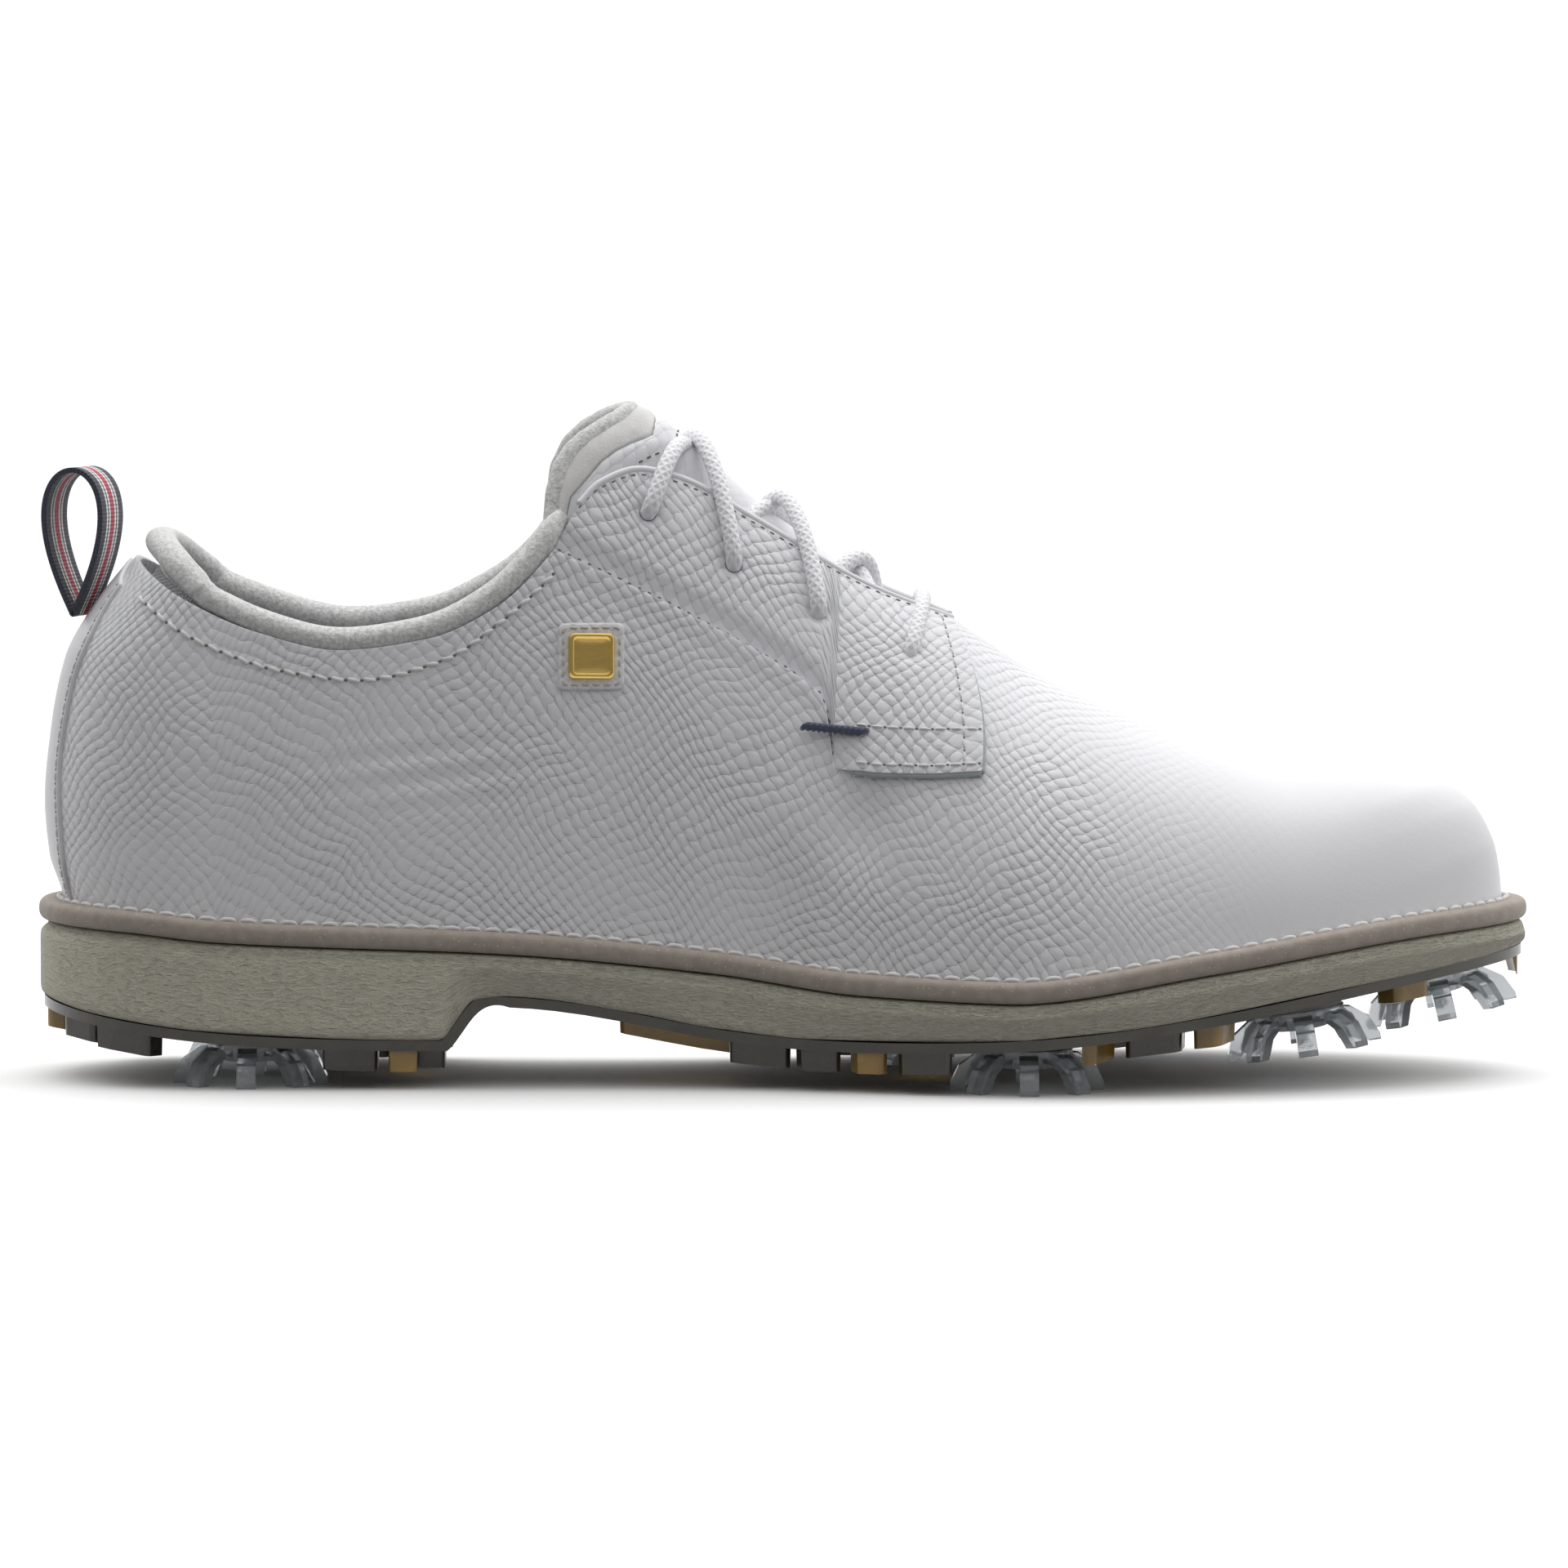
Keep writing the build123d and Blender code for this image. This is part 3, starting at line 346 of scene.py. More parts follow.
def parallel_up(path, first):
    """Up vectors that turn with the path and don't twist."""
    tangent = np.gradient(np.asarray(path, float), axis=0)
    tangent = unit(tangent)
    ups, up = [], np.asarray(first, float)
    for t in tangent:
        up = up - t * up.dot(t)
        up /= np.linalg.norm(up)
        ups.append(up)
    return np.array(ups)


def tube_points(path, up, radius, count, closed=False, oval=1.0):
    """Points of a tube; radius is a number or one per ring and turn."""
    _, side, up = ring_frames(path, up, closed)
    turns = np.linspace(0, 2 * pi, count, endpoint=False)
    radius = np.broadcast_to(radius, (len(path), count))[..., None]
    ring = np.cos(turns)[None, :, None] * side[:, None, :] * oval
    ring = ring + np.sin(turns)[None, :, None] * up[:, None, :]
    return np.asarray(path)[:, None, :] + radius * ring


def tube_uv(path, count):
    """UV of a tube: mm along the path, and round it as a share of a turn."""
    return [[(u, v / count) for v in range(count + 1)] for u in lengths_along(path)]


def capped(faces, rings, count, start=0):
    """Adds an end face to each end of a tube's faces."""
    faces.append([start + k for k in range(count)][::-1])
    faces.append([start + (rings - 1) * count + k for k in range(count)])
    return faces


def tube_object(name, line, radius, count, slot, body="root", girth=None, ends=False, oval=1.0):
    """Tube along a line of (point, up vector) rows. girth is the mm that its UV counts round it."""
    path = line[:, :3]
    ring = tube_points(path, line[:, 3:], radius, count, oval=oval)
    uv = girth and [[(u, v * girth) for u, v in turn] for turn in tube_uv(path, count)]
    faces, uvs = grid(ring, uv, (False, True))
    if ends:
        capped(faces, len(path), count)
    return new_object(
        name, ring.reshape(-1, 3), faces, slot, uvs or None, body=body, merge=False)


def add_tube(verts, faces, ring, closed=False):
    """Adds a tube to lists of points and faces, with end faces unless it is closed."""
    start = len(verts)
    verts.extend(ring.reshape(-1, 3))
    part, _ = grid(ring, closed=(closed, True), start=start)
    faces.extend(part if closed else capped(part, *ring.shape[:2], start))


# A stitch as (share of its length, share of its radius), its rise in radii, and points round it
STITCH_SHAPE = ((0.0, 0.45), (0.12, 0.85), (0.35, 1.0), (0.65, 1.0), (0.88, 0.85), (1.0, 0.45))
STITCH_ARCH = (-0.9, -0.2, 0.1, 0.1, -0.2, -0.9)
STITCH_TURNS = 7
# Length of the dark dash of painted shade at each needle hole
NEEDLE_HOLE = 0.5
# Length, gap and thread radius of each kind of stitch
STITCHES = {
    "tab": (2.1, 0.9, 0.3), "front": (1.9, 0.8, 0.26), "heel": (1.9, 0.8, 0.24),
    "collar": (2.3, 0.75, 0.42), "edge": (1.0, 1.1, 0.16), "seam": (0.7, 1.4, 0.15),
    "tongue": (1.0, 0.9, 0.2), "badge": (1.5, 0.55, 0.24), "welt": (3.1, 0.75, 0.48)}


def stitch_row(
    name, points, normals, slot, long, gap, radius, body="root", sink=0.15, slant=0.0, shift=0.0
):
    """A row of sewn stitches along a line of points, each one a rounded length of thread."""
    points, normals = np.asarray(points, float), np.asarray(normals, float)
    both = evenly(np.hstack([points, normals]), 0.25)
    pitch = long + gap
    lengths = lengths_along(both[:, :3])
    count = int(lengths[-1] // pitch)
    verts, faces = [], []
    for k in range(count):
        low = k * pitch + gap / 2 + shift
        at = np.array([low + share * long for share, _ in STITCH_SHAPE])
        path = np.stack([np.interp(at, lengths, both[:, j]) for j in range(3)], -1)
        up = np.stack([np.interp(at, lengths, both[:, 3 + j]) for j in range(3)], -1)
        _, side, up = ring_frames(path, up)
        arch = np.array(STITCH_ARCH)[:, None] * radius
        drift = np.linspace(-slant, slant, len(at))[:, None]
        path = path + up * (arch + sink * radius) + side * drift
        sizes = np.array([size for _, size in STITCH_SHAPE])[:, None] * radius
        add_tube(verts, faces, tube_points(path, up, sizes, STITCH_TURNS))
    return new_object(name, verts, faces, slot, body=body, merge=False)


def sewn_row(name, points, normals, slot, long, gap, radius, slant=0.0):
    """A stitch row with a dark dash of painted shade sunk at each needle hole, between each two
    stitches.
    """
    stitch_row(name, points, normals, slot, long, gap, radius, slant=slant)
    pitch = long + gap
    # painted shade: dark dashes sunk at the needle holes
    stitch_row(
        name + "_hole_shade", points, normals, "dark_thread_and_hole_shade", NEEDLE_HOLE, pitch - NEEDLE_HOLE,
        radius * 0.8, sink=-0.35, shift=pitch / 2)


# ---- materials ----------------------------------------------------------
BRAID_TURNS = 6
BRAID_LONG = 1.9
PEBBLE = (2.9, 3.05)  # width and height of the pebble lattice
MATERIALS = {}


class Shader:
    """A material and short calls that add nodes to it."""

    def __init__(self, slot, color, roughness, **sockets):
        self.material = bpy.data.materials.new(slot)
        self.material.use_nodes = True
        self.nodes = self.material.node_tree.nodes
        self.links = self.material.node_tree.links
        self.surface = self.nodes["Principled BSDF"]
        self.set("Base Color", (*color, 1))
        self.set("Roughness", roughness)
        for name, value in sockets.items():
            self.set(name.replace("_", " "), value)
        MATERIALS[slot] = self.material

    def set(self, socket, value):
        self.surface.inputs[socket].default_value = value

    def node(self, kind, settings=None, **inputs):
        made = self.nodes.new("ShaderNode" + kind)
        for key, value in (settings or {}).items():
            setattr(made, key, value)
        for key, value in inputs.items():
            numbered = key[0] == "i" and key[1:].isdigit()
            socket = made.inputs[int(key[1:]) if numbered else key]
            if isinstance(value, bpy.types.NodeSocket):
                self.links.new(value, socket)
            else:
                socket.default_value = value
        return made

    def math(self, operation, *values, clamp=False):
        inputs = {f"i{k}": value for k, value in enumerate(values)}
        return self.node("Math", {"operation": operation, "use_clamp": clamp}, **inputs).outputs[0]

    def times(self, a, b):
        return self.math("MULTIPLY", a, b)

    def sine(self, value):
        return self.math("SINE", value)

    def vector(self, operation, *values, output=0):
        inputs = {f"i{k}": value for k, value in enumerate(values)}
        return self.node("VectorMath", {"operation": operation}, **inputs).outputs[output]

    def uv(self):
        return self.node("UVMap", {"uv_map": "UVMap"}).outputs[0]

    def uv_parts(self):
        return self.node("SeparateXYZ", i0=self.uv()).outputs

    def place(self):
        """Rest position in mm, from the object's own coordinates."""
        spot = self.node("TexCoord").outputs["Object"]
        return self.vector("MULTIPLY", spot, (1000, 1000, 1000))

    def noise(self, vector, scale, detail=2.0, rough=0.5, output="Fac"):
        made = self.node("TexNoise", Vector=vector, Scale=scale, Detail=detail, Roughness=rough)
        return made.outputs[output]

    def drift(self, vector, scale, detail):
        """Noise as a vector, each part of it about 0."""
        noise = self.noise(vector, scale, detail, output="Color")
        return self.vector("SUBTRACT", noise, (0.5, 0.5, 0.5))

    def step(self, value, low, high, to_low=0.0, to_high=1.0):
        inputs = {"i0": value, "i1": low, "i2": high, "i3": to_low, "i4": to_high}
        return self.node("MapRange", {"interpolation_type": "SMOOTHSTEP"}, **inputs).outputs[0]

    def blend(self, share, a, b):
        """Colour between a and b."""
        mix = self.node("Mix", {"data_type": "RGBA"})
        for socket, value in ((mix.inputs[0], share), (mix.inputs[6], a), (mix.inputs[7], b)):
            if isinstance(value, bpy.types.NodeSocket):
                self.links.new(value, socket)
            else:
                socket.default_value = value if isinstance(value, float) else (*value, 1)
        return mix.outputs[2]

    def bump(self, high, depth, under=None):
        """Relief of a height, depth in mm, over another normal."""
        inputs = {"Height": high, "Distance": depth * MM, "Strength": 1.0}
        if under is not None:
            inputs["Normal"] = under
        return self.node("Bump", **inputs).outputs[0]

    def skin(self, depth, scale, detail=2.0, rough=0.5):
        """Relief of plain noise, depth in mm."""
        return self.bump(self.noise(self.place(), scale, detail, rough), depth)

    def finish(self, color=None, roughness=None, normal=None):
        for socket, value in (("Base Color", color), ("Roughness", roughness), ("Normal", normal)):
            if value is not None:
                self.links.new(value, self.surface.inputs[socket])


def scaled(color, share):
    return tuple(min(1, c * share) for c in color)


def pebble_height(shader, spot, wide, tall):
    """Rounded domes on two interleaved lattices: 1 at a dome's middle, less further out."""
    share = shader.vector("DIVIDE", spot, (wide, tall, 1.0))
    distances = []
    for shift in ((0.0, 0.0, 0.0), (0.5, 0.5, 0.0)):
        local = shader.vector("FRACTION", shader.vector("ADD", share, shift))
        local = shader.vector("SUBTRACT", local, (0.5, 0.5, 0.0))
        local = shader.vector("MULTIPLY", local, (wide, tall, 0.0))
        distances.append(shader.vector("DOT_PRODUCT", local, local, output=1))
    nearest = shader.math("MINIMUM", *distances)
    return shader.math("SUBTRACT", 1.0, shader.math("DIVIDE", nearest, wide**2 / 4))


def leather(slot, color, roughness, pebble, strength):
    """Full grain leather: pebbles where the grain attribute is high, fine pores everywhere, and
    painted shade darkening the grooves between pebbles.
    """
    s = Shader(
        slot, color, roughness, Specular_IOR_Level=0.45, Coat_Weight=0.12, Coat_Roughness=0.28)
    spot = s.uv()
    place = s.place()
    wander = s.drift(spot, 0.045, 1.0)
    wobble = s.drift(spot, 0.42, 1.0)
    warped = s.vector("MULTIPLY_ADD", wander, (9.0, 9.0, 0.0), spot)
    warped = s.vector("MULTIPLY_ADD", wobble, (1.25, 1.15, 0.0), warped)
    dome = pebble_height(s, warped, *pebble)
    groove = s.step(dome, 0.3, 0.55)
    relief = s.math("MULTIPLY_ADD", groove, 0.2, dome)
    mask = s.node("Attribute", {"attribute_name": "grain"}).outputs["Fac"]
    worn = s.step(s.noise(place, 0.035, 1.0), 0.38, 0.6, 0.55, 1.0)
    mask = s.times(mask, worn)
    relief = s.times(relief, mask)
    pores = s.noise(place, 2.2, 4.0, 0.6)
    under = s.bump(pores, 0.035)
    tone = s.noise(place, 0.03, 2.0)
    shade = s.blend(s.step(tone, 0.3, 0.7), color, scaled(color, 0.965))
    # painted shade: the grooves between pebbles are darkened in the colour
    painted_groove_shade = s.times(s.math("SUBTRACT", 1.0, groove), mask)
    shade = s.blend(s.times(painted_groove_shade, 0.2), shade, scaled(color, 0.72))
    gloss = s.math("MULTIPLY_ADD", s.noise(place, 0.6, 3.0), 0.12, roughness - 0.06)
    s.finish(shade, gloss, s.bump(relief, strength, under))


def woven(slot, color, roughness, rows, cols, depth, fleck=0.0, **sockets):
    """Knit or mesh: threads over and under in rows and columns, sizes in mm of the UV map."""
    s = Shader(slot, color, roughness, Sheen_Weight=0.3, Sheen_Roughness=0.5, **sockets)
    parts = s.uv_parts()
    wave_u = s.sine(s.times(parts[0], 2 * pi / cols))
    lean = s.math("MULTIPLY_ADD", wave_u, 0.55, s.times(parts[1], 2 * pi / rows))
    loops = s.math("ABSOLUTE", s.sine(lean))
    relief = s.math("ADD", s.times(loops, 0.7), s.times(wave_u, 0.3))
    fuzz = s.noise(s.place(), 3.0, 3.0, 0.65)
    relief = s.math("MULTIPLY_ADD", fuzz, 0.6, relief)
    # painted shade: the colour is darker in the low parts of the threads' relief
    dark = s.blend(s.step(relief, 0.0, 0.8), scaled(color, 0.62), color)
    if fleck:
        spark = s.step(s.noise(s.place(), 2.4, 0.0), 0.62, 0.72)
        dark = s.blend(s.times(spark, fleck), dark, (0.95, 0.95, 0.95))
    s.finish(dark, None, s.bump(relief, depth))


def plastic(slot, color, roughness, mottle=0.05, depth=0.02, scale=0.5, **sockets):
    """Moulded material with a slightly uneven colour and surface."""
    s = Shader(slot, color, roughness, **sockets)
    tone = s.step(s.noise(s.place(), scale, 3.0), 0.3, 0.7)
    shade = s.blend(tone, scaled(color, 1 - mottle), scaled(color, 1 + mottle))
    rough = s.math("MULTIPLY_ADD", s.noise(s.place(), 0.9, 2.0), 0.14, roughness - 0.07)
    s.finish(shade, rough, s.skin(depth, 2.5, 3.0))


def make_suede():
    """Short nap with brushed streaks."""
    s = Shader("suede", (0.86, 0.85, 0.83), 0.95, Sheen_Weight=0.8, Sheen_Roughness=0.6)
    nap = s.noise(s.place(), 1.9, 6.0, 0.75)
    stroke = s.step(s.noise(s.place(), 0.16, 2.0), 0.35, 0.65)
    s.finish(s.blend(stroke, (0.80, 0.79, 0.77), (0.90, 0.89, 0.875)), None, s.bump(nap, 0.22))


def make_heather_knit():
    """Fuzzy knit in two mixed tones."""
    s = Shader("collar_knit", (0.74, 0.735, 0.725), 0.9, Sheen_Weight=0.4, Sheen_Roughness=0.5)
    heather = s.step(s.noise(s.place(), 1.2, 3.0, 0.7), 0.36, 0.62)
    s.finish(
        s.blend(heather, (0.60, 0.595, 0.585), (0.84, 0.84, 0.835)), None,
        s.skin(0.4, 1.7, 4.0, 0.7))


def make_braid():
    """Round braid: strands cross on both slants, with painted shade where they dip between each
    other.
    """
    s = Shader("lace_cord", (0.86, 0.86, 0.87), 0.75, Sheen_Weight=0.35, Sheen_Roughness=0.4)
    parts = s.uv_parts()
    turn = s.times(parts[1], 2 * pi * BRAID_TURNS)
    run = s.times(parts[0], 2 * pi / BRAID_LONG)
    right = s.sine(s.math("ADD", run, turn))
    left = s.sine(s.math("SUBTRACT", run, turn))
    braid = s.math("MAXIMUM", right, left)
    slant = s.math("ADD", parts[0], s.times(parts[1], 10.0))
    thread = s.sine(s.times(slant, 14.0))
    relief = s.math("MULTIPLY_ADD", thread, 0.15, braid)
    # painted shade: darker where the braid's strands dip between each other
    shade = s.blend(s.step(braid, -0.9, 0.2), (0.78, 0.78, 0.81), (0.88, 0.88, 0.9))
    s.finish(shade, None, s.bump(relief, 0.09))


def make_striped_webbing():
    """Stripes across the tape, weave along it."""
    s = Shader("webbing", (0.02, 0.025, 0.05), 0.7, Sheen_Weight=0.2)
    parts = s.uv_parts()
    middle = s.math("ABSOLUTE", parts[1])
    white = s.times(s.math("LESS_THAN", middle, 3.3), s.math("GREATER_THAN", middle, 1.1))
    red = s.math("LESS_THAN", middle, 1.1)
    navy_line = s.math("COMPARE", middle, 2.25, 0.28)
    shade = s.blend(white, (0.018, 0.022, 0.042), (0.82, 0.82, 0.82))
    shade = s.blend(navy_line, shade, (0.018, 0.022, 0.042))
    shade = s.blend(red, shade, (0.50, 0.03, 0.07))
    ribs = s.sine(s.times(parts[0], 2 * pi / 0.75))
    cross = s.sine(s.times(parts[1], 2 * pi / 0.55))
    weave = s.math("MULTIPLY_ADD", cross, 0.5, ribs)
    s.finish(shade, None, s.bump(weave, 0.09))


def make_brass():
    """Brushed brass of the badge."""
    s = Shader("badge_metal", (0.62, 0.43, 0.13), 0.3, Metallic=1.0)
    stretched = s.vector("MULTIPLY", s.place(), (0.25, 1.0, 9.0))
    s.finish(None, None, s.bump(s.noise(stretched, 1.2, 3.0), 0.02))


def make_speckled_rubber():
    """Taupe rubber of the welt, with pale flecks."""
    s = Shader("welt_rubber", (0.36, 0.30, 0.26), 0.62)
    fleck = s.node("TexVoronoi", {"feature": "F1"}, Vector=s.place(), Scale=1.1)
    dots = s.step(fleck.outputs["Distance"], 0.14, 0.22, 1.0, 0.0)
    chance = s.node("SeparateColor", i0=fleck.outputs["Color"]).outputs[0]
    some = s.math("GREATER_THAN", chance, 0.6)
    dots = s.times(dots, some)
    tone = s.step(s.noise(s.place(), 0.5, 3.0), 0.35, 0.65)
    shade = s.blend(tone, (0.31, 0.265, 0.228), (0.355, 0.308, 0.265))
    shade = s.blend(s.times(dots, 0.55), shade, (0.62, 0.58, 0.53))
    s.finish(shade, None, s.skin(0.09, 1.6, 4.0, 0.65))


def make_wrinkled_foam():
    """Cream foam of the midsole, with a wrinkled skin and painted shade in its folds."""
    s = Shader("midsole_foam", (0.64, 0.60, 0.49), 0.72)
    wrinkle = s.vector("MULTIPLY", s.uv(), (0.42, 1.5, 1.0))
    wander = s.drift(s.uv(), 0.12, 2.0)
    wrinkle = s.vector("MULTIPLY_ADD", wander, (1.4, 2.4, 0.0), wrinkle)
    folds = s.noise(wrinkle, 1.15, 4.0, 0.6)
    ridges = s.math("ABSOLUTE", s.math("SUBTRACT", folds, 0.5))
    relief = s.math("SUBTRACT", s.times(folds, 0.6), s.times(ridges, 2.2))
    # painted shade: the colour is darker in the low folds of the wrinkles
    shade = s.blend(s.step(relief, -0.1, 0.3), (0.615, 0.575, 0.47), (0.655, 0.62, 0.51))
    s.finish(shade, None, s.bump(relief, 0.75))


def make_smoky_clear():
    """Clear plastic of the cleats."""
    s = Shader("cleat_clear", (0.62, 0.65, 0.67), 0.14, IOR=1.46, Transmission_Weight=0.72)
    s.finish(None, None, s.skin(0.06, 0.7, 2.0))


def make_floor_paper():
    """White paper under the shoe."""
    s = Shader("floor_paper", (0.97, 0.97, 0.97), 0.9)
    s.finish(None, None, s.skin(0.02, 0.4, 3.0))


def make_materials():
    leather("upper_leather", (0.74, 0.74, 0.765), 0.42, PEBBLE, 0.34)
    leather("smooth_leather", (0.68, 0.68, 0.70), 0.4, PEBBLE, 0.05)
    make_suede()
    woven("lining_mesh", (0.78, 0.78, 0.79), 0.85, 1.9, 1.2, 0.35)
    make_heather_knit()
    plastic("foam", (0.75, 0.72, 0.6), 0.95)
    plastic("stiffener", (0.55, 0.5, 0.42), 0.8)
    plastic("board", (0.52, 0.40, 0.27), 0.85)
    plastic("shank_steel", (0.55, 0.56, 0.58), 0.35, Metallic=1.0)
    woven("sockliner_foam", (0.55, 0.56, 0.6), 0.9, 1.4, 1.4, 0.2)
    make_braid()
    plastic("lace_tip", (0.85, 0.85, 0.87), 0.25, Transmission_Weight=0.3)
    make_striped_webbing()
    make_brass()
    plastic("navy_thread", (0.03, 0.04, 0.08), 0.6, Sheen_Weight=0.3)
    plastic("thread_light", (0.72, 0.71, 0.70), 0.65, Sheen_Weight=0.3)
    # dark thread, also used as painted shade at the needle holes
    plastic("dark_thread_and_hole_shade", (0.17, 0.15, 0.14), 0.7, Sheen_Weight=0.3)
    plastic("eyelet_shade", (0.15, 0.16, 0.18), 0.6)
    plastic("edge_paint", (0.40, 0.43, 0.42), 0.6)
    make_speckled_rubber()
    make_wrinkled_foam()
    plastic("outsole_tpu", (0.034, 0.028, 0.017), 0.3, 0.3, 0.02, 0.12, Coat_Weight=0.2)
    plastic("gold_tpu", (0.30, 0.175, 0.035), 0.34, 0.2, 0.02, 0.2, Coat_Weight=0.3)
    plastic("receptacle_nylon", (0.2, 0.2, 0.2), 0.5)
    make_smoky_clear()
    make_floor_paper()


make_materials()


# ---- camera, light and floor --------------------------------------------
CAMERA_FAR = 1.6
CAMERA_ELEVATION = radians(4)
VIEW_WIDTH = 0.3014
VIEW_CENTRE = Vector((0, 0, 0.0557))

camera_data = bpy.data.cameras.new("camera")
camera = bpy.data.objects.new("camera", camera_data)
bpy.context.scene.collection.objects.link(camera)
camera_data.sensor_width = 36
camera_data.lens = camera_data.sensor_width * CAMERA_FAR / VIEW_WIDTH
back = Vector((0, -cos(CAMERA_ELEVATION), sin(CAMERA_ELEVATION)))
camera.location = VIEW_CENTRE + back * CAMERA_FAR
camera.rotation_euler = (-back).to_track_quat("-Z", "Y").to_euler()
bpy.context.scene.camera = camera


def softbox(name, place, target, size, power):
    """A wide soft light aimed at a point."""
    data = bpy.data.lights.new(name, "AREA")
    data.shape, data.size, data.size_y, data.energy = "RECTANGLE", size[0], size[1], power
    light = bpy.data.objects.new(name, data)
    bpy.context.scene.collection.objects.link(light)
    light.location = place
    light.rotation_euler = (Vector(target) - Vector(place)).to_track_quat("-Z", "Y").to_euler()


# Strength of the surroundings: camera side, far side, overhead, below the horizon
DARK_WALL, PALE_WALL, CEILING, GROUND = 0.06, 1.03, 0.88, 0.28

TOP_POWER, TOE_POWER = 2.4, 1.2
FLOOR_REACH = 6.0


def make_studio():
    """Soft light that is strongest from above and behind, over a white floor."""
    middle = (0, 0, 0.06)
    softbox("light_top", (0.05, 0.15, 0.9), middle, (0.9, 0.6), TOP_POWER)
    softbox("light_toe", (1.0, -0.3, 0.35), middle, (0.6, 0.6), TOE_POWER)
    world = bpy.data.worlds.new("studio")
    world.use_nodes = True
    bpy.context.scene.world = world
    nodes, links = world.node_tree.nodes, world.node_tree.links
    surface = nodes["Background"]
    surface.inputs[0].default_value = (1, 1, 1, 1)
    direction = nodes.new("ShaderNodeSeparateXYZ")
    links.new(nodes.new("ShaderNodeTexCoord").outputs["Generated"], direction.inputs[0])

    def ramp(axis, low, high, to_low, to_high):
        made = nodes.new("ShaderNodeMapRange")
        made.interpolation_type = "SMOOTHSTEP"
        links.new(direction.outputs[axis], made.inputs[0])
        for socket, value in zip(made.inputs[1:5], (low, high, to_low, to_high)):
            if isinstance(value, bpy.types.NodeSocket):
                links.new(value, socket)
            else:
                socket.default_value = value
        return made.outputs[0]

    total = nodes.new("ShaderNodeMath")
    links.new(ramp(1, -0.45, 0.6, DARK_WALL, PALE_WALL), total.inputs[0])
    links.new(ramp(2, 0.15, 0.8, 0.0, CEILING), total.inputs[1])
    links.new(ramp(2, -0.3, -0.06, GROUND, total.outputs[0]), surface.inputs[1])
    floor = bpy.data.meshes.new("floor")
    corners = [
        (a * FLOOR_REACH, b * FLOOR_REACH, 0) for a, b in ((-1, -1), (1, -1), (1, 1), (-1, 1))]
    floor.from_pydata(corners, [], [(0, 1, 2, 3)])
    floor = bpy.data.objects.new("floor", floor)
    floor.data.materials.append(MATERIALS["floor_paper"])
    bpy.context.scene.collection.objects.link(floor)
    floor.visible_diffuse = False
    bpy.context.scene.view_settings.view_transform = "Standard"


make_studio()

# ---- lace ---------------------------------------------------------------
UNDER_LIFT = -(LEATHER + BACKER + LINING + LACE_DIAMETER / 2 + 0.15)
OVER_LIFT = LACE_DIAMETER / 2 + 0.1
CREST_LOW = -2.0
LACE_STEP = LACE_DIAMETER + 0.15
EDGE_Y = {LATERAL: 10.5, MEDIAL: 8.5}
TAIL_ROUTE = ((-30, 95), (-36, 79), (-33, 62), (-17, 52), (5, 46), (30, 41), (55, 40), (79, 41))
TAIL_LIFTS = [UNDER_LIFT - extra for extra in (0.4, 0.6, 0.6, 0.6, 0.6, 0.6, 1.4, 2.6)]


def eyelet_point(k, side, lift):
    """Lace centre at eyelet k (1 is nearest the toe)."""
    x, z = EYELETS[4 - k]
    return crown(x, reach(x, z + MEDIAL_RISE * (side == MEDIAL), side), lift)


def crest_point(x, y_shift, lift):
    return crown(x, ridge_y(x) + y_shift, lift)


def lace_strand(side, crest_lifts):
    """Half of the lacing: from inside eyelet 1 on one side to inside eyelet 4 on the other."""
    other = -side
    middle = [(EYELETS[4 - k][0] + EYELETS[3 - k][0]) / 2 for k in (1, 2, 3)]
    over = OVER_LIFT + 0.1
    return [
        eyelet_point(1, side, UNDER_LIFT),
        crest_point(middle[0] + 4.5, side * EDGE_Y[side], UNDER_LIFT),
        crest_point(middle[0], 0, crest_lifts[0]),
        crest_point(middle[0] - 4.5, other * EDGE_Y[other], UNDER_LIFT),
        eyelet_point(2, other, UNDER_LIFT),
        eyelet_point(2, other, OVER_LIFT),
        crest_point(middle[1] + 4.5, other * EDGE_Y[other], over),
        crest_point(middle[1], 0, crest_lifts[1]),
        crest_point(middle[1] - 4.5, side * EDGE_Y[side], UNDER_LIFT),
        eyelet_point(3, side, UNDER_LIFT),
        eyelet_point(3, side, OVER_LIFT),
        crest_point(middle[2] + 4.5, side * EDGE_Y[side], over),
        crest_point(middle[2], 0, crest_lifts[2]),
        crest_point(middle[2] - 4.5, other * EDGE_Y[other], over),
        eyelet_point(4, other, OVER_LIFT),
        eyelet_point(4, other, UNDER_LIFT),
    ]


def lace_route():
    """Control points of the whole lace, tip to tip."""
    high = CREST_LOW + LACE_STEP
    first = lace_strand(LATERAL, (CREST_LOW, CREST_LOW, high))
    second = lace_strand(MEDIAL, (high, high, CREST_LOW))
    tails = {}
    for side in (LATERAL, MEDIAL):
        tails[side] = [
            crown(x, reach(x, z, side), lift) for (x, z), lift in zip(TAIL_ROUTE, TAIL_LIFTS)]
    x = EYELETS[3][0]
    over = OVER_LIFT + 0.1
    bar = [
        eyelet_point(1, LATERAL, OVER_LIFT),
        crest_point(x + 2, -EDGE_Y[LATERAL], over),
        crest_point(x + 2.6, 0, 0.4),
        crest_point(x + 2, EDGE_Y[MEDIAL], over),
        eyelet_point(1, MEDIAL, OVER_LIFT),
    ]
    return tails[MEDIAL][::-1] + first[::-1] + bar + second + tails[LATERAL]


